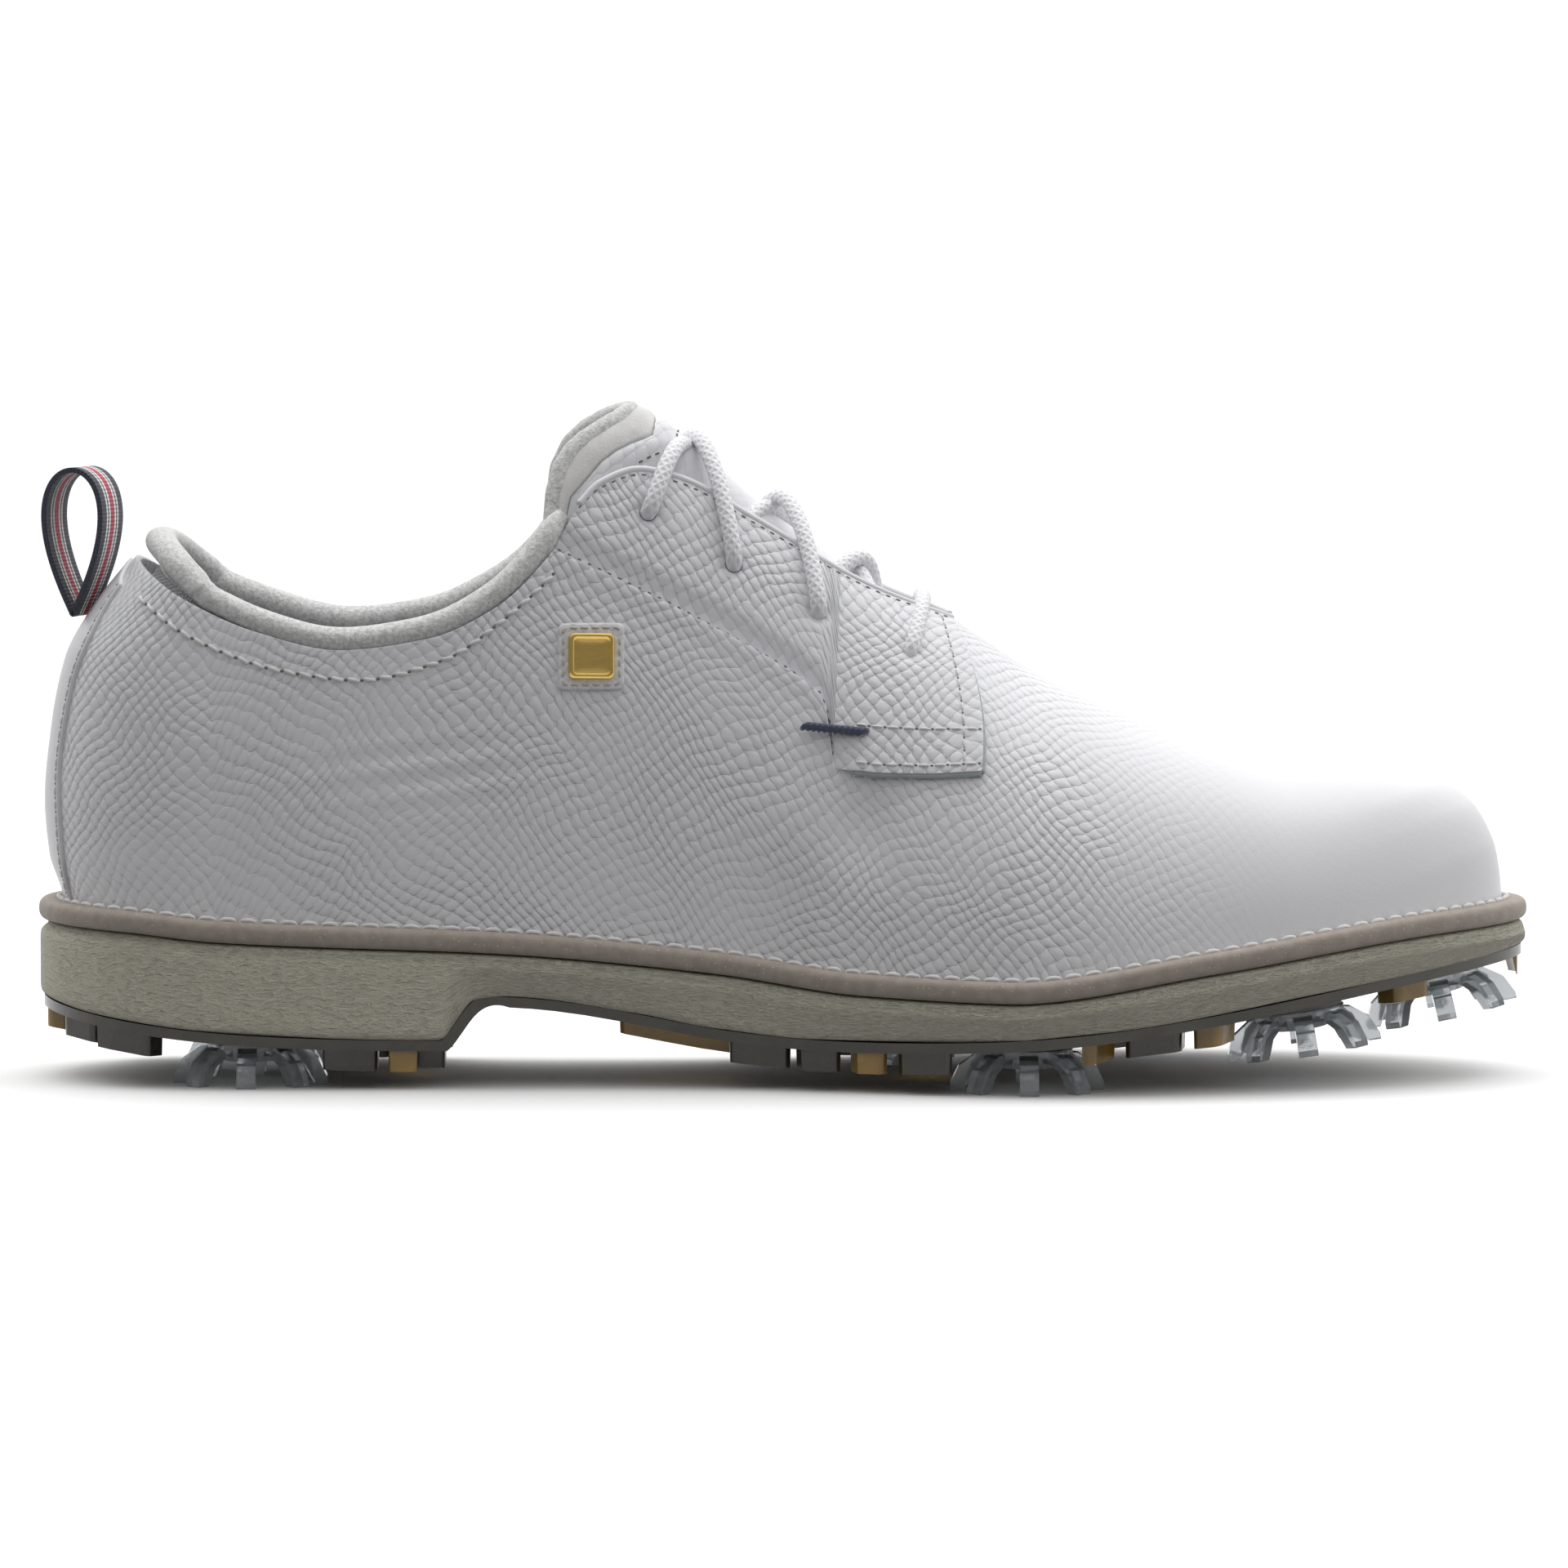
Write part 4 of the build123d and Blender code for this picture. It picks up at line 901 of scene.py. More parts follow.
def nurbs_line(points):
    """Points in mm along the smooth NURBS line of a route, read from Blender's own spline."""
    data = bpy.data.curves.new("route", "CURVE")
    data.dimensions = "3D"
    data.resolution_u = 12
    spline = data.splines.new("NURBS")
    spline.points.add(len(points) - 1)
    for point, place in zip(spline.points, points):
        point.co = (*(np.asarray(place) * MM), 1)
    spline.order_u = 3
    spline.use_endpoint_u = True
    holder = bpy.data.objects.new("route", data)
    mesh = bpy.data.meshes.new_from_object(holder)
    line = np.array([v.co for v in mesh.vertices]) / MM
    bpy.data.objects.remove(holder)
    bpy.data.curves.remove(data)
    return line


def make_lace():
    """The whole lace as one braided cord."""
    path = evenly(nurbs_line(lace_route()), 0.32)
    lengths = lengths_along(path)
    count = 24
    turns = np.linspace(0, 2 * pi, count, endpoint=False)
    run = 2 * pi * lengths[:, None] / BRAID_LONG
    braid = np.maximum(np.sin(run + BRAID_TURNS * turns), np.sin(run - BRAID_TURNS * turns))
    radius = LACE_DIAMETER / 2 - 0.035 + 0.035 * braid
    radius = radius * smooth(-0.5, 0.6, np.minimum(lengths, lengths[-1] - lengths))[:, None]
    points = tube_points(path, parallel_up(path, (0.1, 0.2, 1)), radius, count)
    lace = grid_object("lace_cord", points, "lace_cord", tube_uv(path, count), (False, True))
    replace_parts(lace, "lace")
    print(f"lace line {lengths[-1]:.1f} mm")


make_lace()


# ---- upper --------------------------------------------------------------
ROWS = 84
HEEL_COLUMNS = 34
TOE_COLUMNS = 40
COLUMN_STEP = 1.25
TO_RIDGE = 200.0  # a top height that no column reaches, so that it ends at the ridge
VAMP_BACK = QUARTER_EDGE[-1][0]


def vamp_top(x):
    """Height of the vamp's and quarters' top edge, in front of the heel."""
    under_tab = 61.4 + (x - VAMP_BACK) * 1.04
    top = np.where(x < QUARTER_EDGE[0][0], collar_z(x), quarter_z(x))
    return np.where(x > VAMP_BACK, under_tab, top)


def heel_column(turn, top_line, side, rows=ROWS, low=None):
    """Column of the heel's fan: turn 0 is at the heel axis and 90 degrees at the back."""
    top = 95.0
    for _ in range(30):
        x = HEEL_AXIS - (HEEL_AXIS - heel_back(top)) * sin(turn) ** (2 / HEEL_ROUND)
        top += 0.5 * (float(top_line(x)) - top)
    low = foot_z(x) if low is None else low
    z = low + (top - low) * np.linspace(0, 1, rows)
    share = sin(turn) ** (2 / HEEL_ROUND)
    x = HEEL_AXIS - (HEEL_AXIS - heel_back(z)) * share
    y = reach(HEEL_AXIS, z, side) * max(0.0, cos(turn)) ** (2 / HEEL_ROUND)
    return np.stack([x, y, z], -1)


def side_column(x, top, side, rows=ROWS):
    """Column of the upper's section at x, up to a height or to the ridge."""
    foot = foot_z(x)
    tall = ridge_z(x) - foot
    share = min(1.0, (top - foot) / tall)
    share += (1 - share) * float(smooth(THROAT - 5, THROAT, x))
    turn = np.linspace(0.0, asin(share ** (upright(x) / 2)), rows)
    y = ridge_y(x) + side * half_width(x, side) * np.clip(np.cos(turn), 0, 1) ** (2 / across(x))
    z = foot + tall * np.sin(turn) ** (2 / upright(x))
    return np.stack([np.full(rows, x), y, z], -1)


def toe_column(turn, side, rows=ROWS):
    """Column of the toe's fan, from the feather line to the toe axis."""
    edge_x = TOE_AXIS + (TOE_END - FEATHER_INSET - TOE_AXIS) * sin(turn)
    edge_y = float(feather[side](edge_x))
    centre_y = float(ridge_y(TOE_AXIS))
    share = np.cos(np.linspace(0, pi / 2, rows)).clip(0, 1) ** (2 / across(TOE_AXIS))
    x = TOE_AXIS + (edge_x - TOE_AXIS) * share
    y = centre_y + (edge_y - centre_y) * share
    sideways = foot_z(TOE_AXIS) + (ridge_z(TOE_AXIS) - foot_z(TOE_AXIS)) * (
        1 - share ** across(TOE_AXIS)) ** (1 / upright(TOE_AXIS))
    forward = ridge_z(TOE_AXIS + (TOE_END - FEATHER_INSET - TOE_AXIS) * share)
    ahead = sin(atan2(edge_x - TOE_AXIS, abs(edge_y - centre_y))) ** 2
    return np.stack([x, y, (1 - ahead) * sideways + ahead * forward], -1)


def upper_columns(side, side_top, heel_top):
    """Columns from the back of the heel forward to the tip of the toe."""
    columns = [
        heel_column(turn, heel_top, side) for turn in np.linspace(pi / 2, 0, HEEL_COLUMNS)[:-1]]
    stations = np.linspace(HEEL_AXIS, TOE_AXIS, int((TOE_AXIS - HEEL_AXIS) / COLUMN_STEP))
    columns += [side_column(x, side_top(x), side) for x in stations]
    columns += [toe_column(turn, side) for turn in np.linspace(0, pi / 2, TOE_COLUMNS)[1:]]
    return np.array(columns)


def grid_normals(points, side):
    """Outward normals of a grid of columns."""
    normal = np.cross(np.gradient(points, axis=0), np.gradient(points, axis=1)) * -side
    size = np.linalg.norm(normal, axis=-1, keepdims=True)
    normal = np.where(size > 1e-9, normal / np.maximum(size, 1e-9), (0, 0, 1))
    return normal


def skin_uv(points, side):
    """UV in mm: forward along the shoe, and down each side from the ridge."""
    across_step = np.linalg.norm(np.diff(points[:, ::-1], axis=1), axis=-1)
    down = np.concatenate([np.zeros((len(points), 1)), np.cumsum(across_step, 1)], 1)[:, ::-1]
    tops = points[:, -1]
    gap = []
    for foot in points[:, 0]:
        column = side_column(max(HEEL_AXIS, min(TOE_AXIS, foot[0])), TO_RIDGE, side, 60)
        gap.append(np.linalg.norm(np.diff(column, axis=0), axis=1).sum())
    total = down[:, 0]
    reach_down = down + np.maximum(0, np.array(gap) - total)[:, None] * (tops[:, 2] > 0)[:, None]
    middle = len(points[0]) // 2
    run = np.diff(points[:, middle, :2], axis=0)
    sides = np.abs(points[1:, middle, 0] - (HEEL_AXIS + TOE_AXIS) / 2) < (TOE_AXIS - HEEL_AXIS) / 2
    step = np.r_[0, np.cumsum(np.where(sides, np.abs(run[:, 0]), np.linalg.norm(run, axis=1)))]
    u = np.broadcast_to(step[:, None], down.shape)
    return np.stack([u - 200, side * reach_down], -1)


def vamp_lift(x, z):
    """Gentle swells and hollows of the stretched leather."""
    notch = -1.5 * hump(x, z, 15, 50, 6, 9) + 0.9 * hump(x, z, 2, 50, 8, 12)
    wrinkles = 0.22 * np.sin((z - 60 - 0.12 * (x + 66)) * 1.15) * hump(x, z, -66, 60, 20, 7)
    proud = 0.3 * smooth(5, 1, quarter_z(x) - z) * (x < VAMP_BACK + 1) * (x > -43)
    return notch + wrinkles + proud


def grain_strength(x):
    return 1 - 0.97 * smooth(38, 98, x)


def upper_sheet(name, slot, tops, lift, grained=False, close_back=False):
    """Sheet over the whole upper. tops(side) gives its side and heel top lines, and lift(x, z)
    its distance outside the upper."""
    verts, faces, uvs, grain, outward = [], [], [], [], []
    for side in (LATERAL, MEDIAL):
        points = upper_columns(side, *tops(side))
        uv = skin_uv(points, side)
        x, z = points[..., 0], points[..., 2]
        normals = grid_normals(points, side)
        points = points + normals * lift(x, z)[..., None]
        if close_back:
            points[0, :, 1] = 0
        outward.extend(normals.reshape(-1, 3))
        part, part_uv = grid(points, uv, start=len(verts))
        verts.extend(points.reshape(-1, 3))
        faces.extend(part)
        uvs.extend(part_uv)
        grain.extend(grain_strength(x).ravel())
    return new_object(
        name, verts, faces, slot, uvs, grain if grained else None, outward=outward)


def make_vamp():
    def top(x):
        return TO_RIDGE if x > THROAT else float(vamp_top(x))

    piece = upper_sheet(
        "vamp_and_quarters_skin", "upper_leather", lambda side: (top, collar_z), vamp_lift,
        grained=True)
    thicken(piece, LEATHER, round_edge=0.35)
    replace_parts(piece, "vamp_and_quarters")


make_vamp()

# Matching places on the eyestay's lower and upper edge, as ((x, z) low, x high)
STAY_MATCH = (
    ((-43.6, 101.7), -38.6), ((-32, 96.2), -30), ((-21.4, 91.1), -19.5), ((-10, 85), -7),
    ((1, 78.8), 3), ((7, 74.2), 7.5), ((8.6, 69.5), 9), ((9.4, 60.6), 10.8), ((18, 59.6), 17),
    ((28, 59.4), 25), (TAB_CORNER, 31.5))
STAY_TUCK = 1.2
TAB_PROUD = 1.4
DIMPLE_DEPTH, DIMPLE_REACH = 1.3, 2.0
PIPING_RADIUS = 0.85
# A dark ring of painted shade sunk in each eyelet hole, where the lace goes in: its radius round
# the hole, its thickness and its height above the upper
SHADE_RING_AROUND, SHADE_RING_THICK, SHADE_RING_LIFT = 1.72, 0.68, -0.95


def stay_grid(columns=150, rows=56):
    """Side-view grid of an eyestay, and each point's distance above its lower edge."""
    lengths = np.r_[0, np.cumsum([
        sqrt((b[0][0] - a[0][0]) ** 2 + (b[0][1] - a[0][1]) ** 2) + abs(b[1] - a[1])
        for a, b in zip(STAY_MATCH, STAY_MATCH[1:])])]
    at = np.linspace(0, lengths[-1], columns)
    low = np.stack([np.interp(at, lengths, [m[0][k] for m in STAY_MATCH]) for k in (0, 1)], -1)
    high_x = np.interp(at, lengths, [m[1] for m in STAY_MATCH])
    high = np.array([(x, along(EYESTAY_EDGE, x)) for x in high_x])
    share = np.linspace(0, 1, rows)[None, :, None]
    spread = low[:, None] + (high - low)[:, None] * share
    front = 2.2 * smooth(lengths[-2], lengths[-1], at)[:, None]
    spread[..., 0] += front * 4 * share[..., 0] * (1 - share[..., 0])
    up = np.linalg.norm(high - low, axis=1)[:, None] * share[..., 0]
    return spread, up


def stay_lift(x, up):
    tab = smooth(3, 16 + 0.35 * up, x)
    tucked = -STAY_TUCK * (1 - smooth(0, 6, up))
    return (1 - tab) * tucked + tab * TAB_PROUD


def eyelet_dimples(points, side):
    """How far the lace pulls the leather in round each eyelet."""
    pull = np.zeros(points.shape[:-1])
    for k in (1, 2, 3, 4):
        centre = eyelet_point(k, side, 0)
        pull -= DIMPLE_DEPTH * np.exp(-np.sum((points - centre) ** 2, -1) / DIMPLE_REACH**2)
    return pull


def make_eyestay(side, name):
    spread, up = stay_grid()
    x, z = spread[..., 0], spread[..., 1]
    points, normals = wall(x, z, side, stay_lift(x, up))
    points = points + normals * eyelet_dimples(points, side)[..., None]
    step = np.linalg.norm(np.diff(points, axis=1), axis=-1)
    down = np.concatenate([np.zeros((len(points), 1)), np.cumsum(step, 1)], 1)
    uv = np.stack([x, down - 20], -1)
    piece = grid_object(
        name + "_skin", points, "upper_leather", uv, grain=np.ones(x.shape), outward=normals)
    thicken(piece, LEATHER, round_edge=0.4)
    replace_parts(piece, name)
    return points, normals


def offset_row(points, normals, index, inward):
    """Line across an eyestay's columns at a distance in mm in from its lower or upper edge."""
    line, up = [], []
    for column, normal in zip(points, normals):
        if index < 0:
            column, normal = column[::-1], normal[::-1]
        lengths = lengths_along(column)
        line.append([np.interp(inward, lengths, column[:, k]) for k in range(3)])
        up.append([np.interp(inward, lengths, normal[:, k]) for k in range(3)])
    return np.array(line), np.array(up)


# Dark rings of painted shade, sunk in the eyelet holes round the lace
def make_eyelet_shade_rings(side, name):
    verts, faces = [], []
    for k in (1, 2, 3, 4):
        centre = eyelet_point(k, side, SHADE_RING_LIFT)
        out = eyelet_point(k, side, 1.0) - eyelet_point(k, side, 0.0)
        out /= np.linalg.norm(out)
        flat = np.cross(out, (0, 0, 1.0))
        flat /= np.linalg.norm(flat)
        turns = np.linspace(0, 2 * pi, 24, endpoint=False)
        circle = np.cos(turns)[:, None] * flat + np.sin(turns)[:, None] * np.cross(out, flat)
        circle = centre + SHADE_RING_AROUND * circle
        ring = tube_points(circle, np.tile(out, (24, 1)), SHADE_RING_THICK / 2, 8, closed=True)
        add_tube(verts, faces, ring, closed=True)
    new_object(f"eyelet_shade_rings_{name}", verts, faces, "eyelet_shade", merge=False)


def make_stay_details(side, name, points, normals):
    """Piped edge, painted edges, stitch rows and the dark rings of painted shade in the eyelet
    holes of one eyestay.
    """
    edge, edge_up = offset_row(points, normals, -1, 0.35)
    edge = edge - edge_up * 0.55
    path = evenly(edge, 0.6)
    ups = evenly(np.hstack([edge, edge_up]), 0.6)[:, 3:]
    tube_object(
        f"piping_{name}", np.hstack([path, ups]), PIPING_RADIUS, 10, "smooth_leather", ends=True)
    row, row_up = offset_row(points, normals, -1, 1.6)
    stitch_row(f"stitches_edge_{name}", row, row_up, "dark_thread_and_hole_shade", *STITCHES["edge"])
    seam = [k for k in range(len(points)) if points[k, 0, 0] < 9.5]
    row, row_up = offset_row(points[seam], normals[seam], 1, 0.6)
    stitch_row(f"stitches_seam_{name}", row, row_up, "dark_thread_and_hole_shade", *STITCHES["seam"])
    # two rows along the tab and one down its front
    tab = [k for k in range(len(points)) if points[k, 0, 0] > 12.5]
    for label, inward in (("low", 1.6), ("high", 9.0)):
        row, row_up = offset_row(points[tab], normals[tab], 1, inward)
        sewn_row(
            f"stitches_tab_{label}_{name}", row, row_up, "thread_light", *STITCHES["tab"])
    # painted cut edges below the tab and down its front
    low, low_up = points[tab, 0], normals[tab, 0]
    front_line, front_up = points[-1, ::3], normals[-1, ::3]
    for label, line, ups, size in (
        ("low", low, low_up, 0.75), ("front", front_line, front_up, 0.6)):
        both = evenly(np.hstack([line - ups * 0.95, ups]), 0.6)
        tube_object(f"tab_edge_{label}_{name}", both, size, 10, "edge_paint", ends=True)
    front = points[-6, 3:], normals[-6, 3:]
    sewn_row(f"stitches_front_{name}", *front, "thread_light", *STITCHES["front"])
    make_eyelet_shade_rings(side, name)


for stay_side, stay_name in ((LATERAL, "eyestay_lateral"), (MEDIAL, "eyestay_medial")):
    make_stay_details(stay_side, stay_name, *make_eyestay(stay_side, stay_name))


# ---- heel strip ---------------------------------------------------------
STRIP_PROUD = 0.7


def make_heel_strip():
    """Leather strip over the back seam, sewn down both its sides."""
    rows, columns = 90, 25
    strip = []
    low = float(foot_z(-138))
    for z_share in np.linspace(0, 1, rows):
        row = []
        for share in np.linspace(-1, 1, columns):
            side = LATERAL if share < 0 else MEDIAL
            top = 99.0 - 4.5 * abs(share)
            z = low + (top - low) * z_share
            seam = (HEEL_AXIS - heel_seam(z)) / (HEEL_AXIS - heel_back(z))
            seam_turn = asin(min(1.0, seam ** (HEEL_ROUND / 2)))
            turn = seam_turn + (pi / 2 - seam_turn) * (1 - abs(share))
            x = HEEL_AXIS - (HEEL_AXIS - heel_back(z)) * sin(turn) ** (2 / HEEL_ROUND)
            y = reach(HEEL_AXIS, z, side) * max(0.0, cos(turn)) ** (2 / HEEL_ROUND)
            row.append((x, y, z))
        strip.append(row)
    strip = np.array(strip)
    normal = np.cross(np.gradient(strip, axis=1), np.gradient(strip, axis=0))
    normal = unit(normal)
    if normal[rows // 2, columns // 2, 0] > 0:
        normal = -normal
    raised = strip + normal * STRIP_PROUD
    uv = np.stack(np.meshgrid(np.linspace(0, 30, columns), np.linspace(0, 75, rows)), -1)
    piece = grid_object(
        "heel_strip_skin", raised, "smooth_leather", uv, grain=np.zeros(strip.shape[:2]),
        outward=normal)
    thicken(piece, LEATHER, round_edge=0.5, segments=3)
    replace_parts(piece, "heel_strip")
    for column, label in ((1, "lateral"), (columns - 2, "medial")):
        sewn_row(
            f"stitches_heel_{label}", raised[8:, column], normal[8:, column], "thread_light",
            *STITCHES["heel"])


make_heel_strip()


# ---- lining, collar roll and foot bed -----------------------------------
def collar_rise(x, side):
    """How much higher the medial collar stands."""
    return 1.8 * (side == MEDIAL) * smooth(-122, -100, x) * smooth(-42, -60, x)


def make_lining():
    def tops(side):
        def top(x):
            if x < -41:
                return float(collar_z(x) + collar_rise(x, side)) + 1.5
            return TO_RIDGE if x > THROAT - 2 else along(EYESTAY_EDGE, x) - 2.5

        return top, lambda x: collar_z(x) + 1.5

    def lift(x, z):
        return -(LEATHER + BACKER + 0.1 + COLLAR_PAD * smooth(-38, -54, x) * smooth(58, 72, z))

    piece = upper_sheet("lining_sheet", "lining_mesh", tops, lift, close_back=True)
    thicken(piece, LINING - 0.1)
    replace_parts(piece, "lining", "collar_foam", "heel_counter", "toe_puff")


make_lining()


def collar_loop(share, depth):
    """Line round the collar, from its lateral front to its medial front.
    Share 0 is the collar's seam, and 1 is the roll's top."""
    line, outward = [], []

    def level(x, side):
        return (1 - share) * collar_z(x) + share * roll_z(x) + collar_rise(x, side)

    for side in (LATERAL, MEDIAL):
        xs = np.linspace(-41.5, HEEL_AXIS, 60)
        part, normal = wall(xs, level(xs, side), side, -depth * np.ones(60))
        turns = np.linspace(0, pi / 2, 30)[1:]
        back = np.array([
            heel_column(turn, lambda x: level(x, side), side, 3, 60.0)[-1] for turn in turns])
        across_step = np.gradient(np.vstack([part[-1:], back]), axis=0)[1:]
        flat = np.stack([across_step[:, 1], -across_step[:, 0], np.zeros(len(back))], -1)
        flat *= np.sign(np.sum(flat * (back - (HEEL_AXIS, 0, 0)), 1))[:, None]
        flat = unit(flat)
        whole = np.vstack([part, back - flat * depth])
        normals = np.vstack([normal, flat])
        if side == MEDIAL:
            whole, normals = whole[:-1][::-1], normals[:-1][::-1]
        line.append(whole)
        outward.append(normals)
    return np.vstack(line), np.vstack(outward)


ROLL_DEPTH = 2.7
ROLL_RADIUS = 3.0
ROLL_OVAL = 0.84


def make_collar_roll():
    """Padded knit roll round the collar."""
    line, outward = collar_loop(0.5, ROLL_DEPTH)
    both = evenly(np.hstack([line, outward]), 1.0)
    path = both[:, :3]
    kernel = np.ones(7) / 7
    for k in range(3):
        padded = np.pad(path[:, k], 3, mode="edge")
        inner = np.convolve(padded, kernel, "valid")
        path[4:-4, k] = inner[4:-4]
    ends = np.minimum(np.arange(len(path)), np.arange(len(path))[::-1])
    size = ROLL_RADIUS * (0.55 + 0.45 * smooth(-1, 5, ends))
    piece = tube_object(
        "collar_roll_knit", both, size[:, None], 24, "collar_knit", girth=19, oval=ROLL_OVAL)
    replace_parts(piece, "collar_roll")


make_collar_roll()


COLLAR_STITCHES = (
    (-122.7, 92.6), (-114.8, 86.6), (-105.8, 82.3), (-96.2, 79.2), (-80.2, 77.2), (-64.2, 81),
    (-52.8, 88.7), (-45, 95.6), (-42.3, 98.6))


def make_collar_stitches():
    """Sewn row that follows the collar a little below its seam."""
    for side, label in ((LATERAL, "lateral"), (MEDIAL, "medial")):
        xs, zs = curve_points(COLLAR_STITCHES, 110).T
        line, normal = wall(xs, zs, side, 0.0)
        sewn_row(
            f"stitches_collar_{label}", line, normal, "thread_light", *STITCHES["collar"],
            slant=0.35)


make_collar_stitches()


BOARD_TOP, BED_RISE, BED_THICK = 2, 4.5, 4.0
BED_AXIS, BED_BACK = -103, -136.2


def make_sockliner():
    """Foot bed: a soft sheet with a heel cup."""
    rows, columns = 120, 31
    xs = BED_AXIS - 33 * np.sin(np.linspace(pi / 2, 0, 24))
    xs = np.r_[xs[:-1], np.linspace(BED_AXIS, 125, rows - 23)]
    points = []
    for x in xs:
        bed = welt_top(x) - WELT_THICK + BOARD_TOP + BED_RISE
        row = []
        for share in np.linspace(-1, 1, columns):
            side = LATERAL if share < 0 else MEDIAL
            edge = abs(plan_edge(max(x, BED_BACK), side, FEATHER_INSET + 4.2))
            edge = edge if x > BED_BACK - 0.2 else 0.0
            cup = (3.5 * smooth(-60, -110, x) + 0.8) * abs(share) ** 5
            arch = 2.5 * hump(x, share, -20, 0.8, 30, 0.5)
            row.append((x, side * edge * abs(share), bed + cup + arch))
        points.append(row)
    points = np.array(points)
    uv = points[..., :2]
    outward = np.tile((0, 0, 1.0), (points.shape[0] * points.shape[1], 1))
    piece = grid_object("sockliner_bed", points, "sockliner_foam", uv, outward=outward)
    thicken(piece, BED_THICK, round_edge=1.0)
    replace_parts(piece, "sockliner")


make_sockliner()

# ---- tongue -------------------------------------------------------------
# How far the tongue is narrower than the upper on each side, and (x, depth) under the ridge
TONGUE_SET_IN = 8.5
TONGUE_CREST = ((-36, 1), (-24, 1.4), (-18, 1.9), (-12, 3.2), (-4, 4.4), (30, 4.6))
# Side-view lines as (z, x): the tongue's top on the lateral and medial side, and the suede's edge
NEAR_TOP = (
    (100, -43.2), (107, -43.6), (114.6, -42.6), (120.5, -39.8), (123.8, -35.4), (127.1, -30.2),
    (129.2, -28))
FAR_TOP = ((100, -43.2), (107, -43.8), (114.6, -43.4), (121, -40.6), (127, -34.2), (129.2, -28.8))
TRIM_LINE = (
    (101, -50), (110, -41.5), (116.2, -35.8), (118.4, -34), (121.1, -29.5), (122.9, -25),
    (126.2, -24.2), (132, -23.5))
# (x, lateral y, medial y) of the tongue's side edges
TONGUE_SIDES = ((-60, -24, 29), (-24, -20, 27), (34, -9, 19))
TONGUE_BASE_X = 33.0


def tongue_height(x, y):
    """Height of the tongue's outside at x, y."""
    side_half = np.where(y < ridge_y(x), half_width(x, LATERAL), half_width(x, MEDIAL))
    side_half = side_half - TONGUE_SET_IN
    share = np.clip(np.abs(y - ridge_y(x)) / side_half, 0, 0.999) ** across(x)
    crest = np.interp(x, *zip(*TONGUE_CREST))
    tall = ridge_z(x) - crest - foot_z(x)
    return foot_z(x) + tall * (1 - share) ** (1 / upright(x))


def tongue_y(x, share):
    """Side to side place on the tongue, share -1 to 1."""
    xs, lows, highs = zip(*TONGUE_SIDES)
    low, high = np.interp(x, xs, lows), np.interp(x, xs, highs)
    return low + (high - low) * (share + 1) / 2


def line_x(table, share):
    """x where the tongue's surface, at a side to side share, meets a side-view line of (z, x)."""
    for x in np.arange(-10, -55, -0.25):
        z = float(tongue_height(x, tongue_y(x, share)))
        if x <= along(table, z):
            return x
    return -52.0


TONGUE_THICK = 3.6
RIM_RADIUS = 2.0


def make_tongue_rim(points, normals):
    """Padded knit rim along the tongue's top edge."""
    edge = points - normals * (TONGUE_THICK / 2 - 0.3)
    both = evenly(np.hstack([edge, normals]), 0.7)
    ends = np.minimum(np.arange(len(both)), np.arange(len(both))[::-1])
    size = RIM_RADIUS * (0.5 + 0.5 * smooth(-1, 5, ends))
    rim = tube_object(
        "tongue_rim", both, size[:, None], 16, "collar_knit", body="tongue", girth=12)


def make_tongue():
    """Leather front and suede top of the tongue, with its stitches and rim."""
    columns = 41
    shares = np.linspace(-1, 1, columns)
    near = np.array([line_x(NEAR_TOP, share) for share in shares])
    far = np.array([line_x(FAR_TOP, share) for share in shares])
    tops = near + (far - near) * smooth(-0.15, 0.25, shares)
    trims = np.maximum(np.array([line_x(TRIM_LINE, share) for share in shares]), tops + 2.0)
    for name, starts, ends, rows, slot, nodes in (
        ("tongue_front", np.full(columns, TONGUE_BASE_X), trims, 90, "upper_leather",
         ("tongue_leather", "tongue_foam", "tongue_lining")),
        ("tongue_suede", trims, tops, 26, "suede", ("tongue_top",)),
    ):
        points = []
        for share, start, end in zip(shares, starts, ends):
            x = np.linspace(start, end, rows)
            y = tongue_y(x, share)
            points.append(np.stack([x, y, tongue_height(x, y)], -1))
        points = np.array(points)
        normal = np.cross(np.gradient(points, axis=1), np.gradient(points, axis=0))
        normal = unit(normal)
        normal *= np.sign(normal[..., 2:3])
        along_row = np.linspace(0, 1, rows)[None, :]
        if name == "tongue_suede":
            puff = 0.5 * np.sin(pi * along_row) - 0.6 * (1 - smooth(0, 0.12, along_row))
        else:
            puff = 0.45 * smooth(0.9, 0.97, along_row) - 0.5 * smooth(0.985, 1, along_row)
        points = points + normal * puff[..., None]
        step = np.linalg.norm(np.diff(points, axis=1), axis=-1)
        run = np.concatenate([np.zeros((columns, 1)), np.cumsum(step, 1)], 1)
        uv = np.stack([run, points[..., 1]], -1)
        grain = 0.15 + 0.35 * smooth(-14, -24, points[..., 0])
        piece = grid_object(name, points, slot, uv, grain=grain, body="tongue", outward=normal)
        thicken(piece, TONGUE_THICK, round_edge=1.7, segments=4)
        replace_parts(piece, *nodes)
        if name == "tongue_front":
            row = points[:, -7], normal[:, -7]
            stitch_row(
                "stitches_tongue", *row, "dark_thread_and_hole_shade", *STITCHES["tongue"], body="tongue")
        else:
            make_tongue_rim(points[:, -1], normal[:, -1])


make_tongue()

# ---- pull loop, badge, bar tacks ----------------------------------------
# The loop's foot as (x, z), its height, half its opening, its turn from straight ahead
LOOP_BASE = (-134.6, 88.6)
LOOP_TALL = 27.6
LOOP_HALF = 6.3
LOOP_YAW = radians(-15)
LOOP_WIDTH = 12.0
LOOP_THICK = 1.0


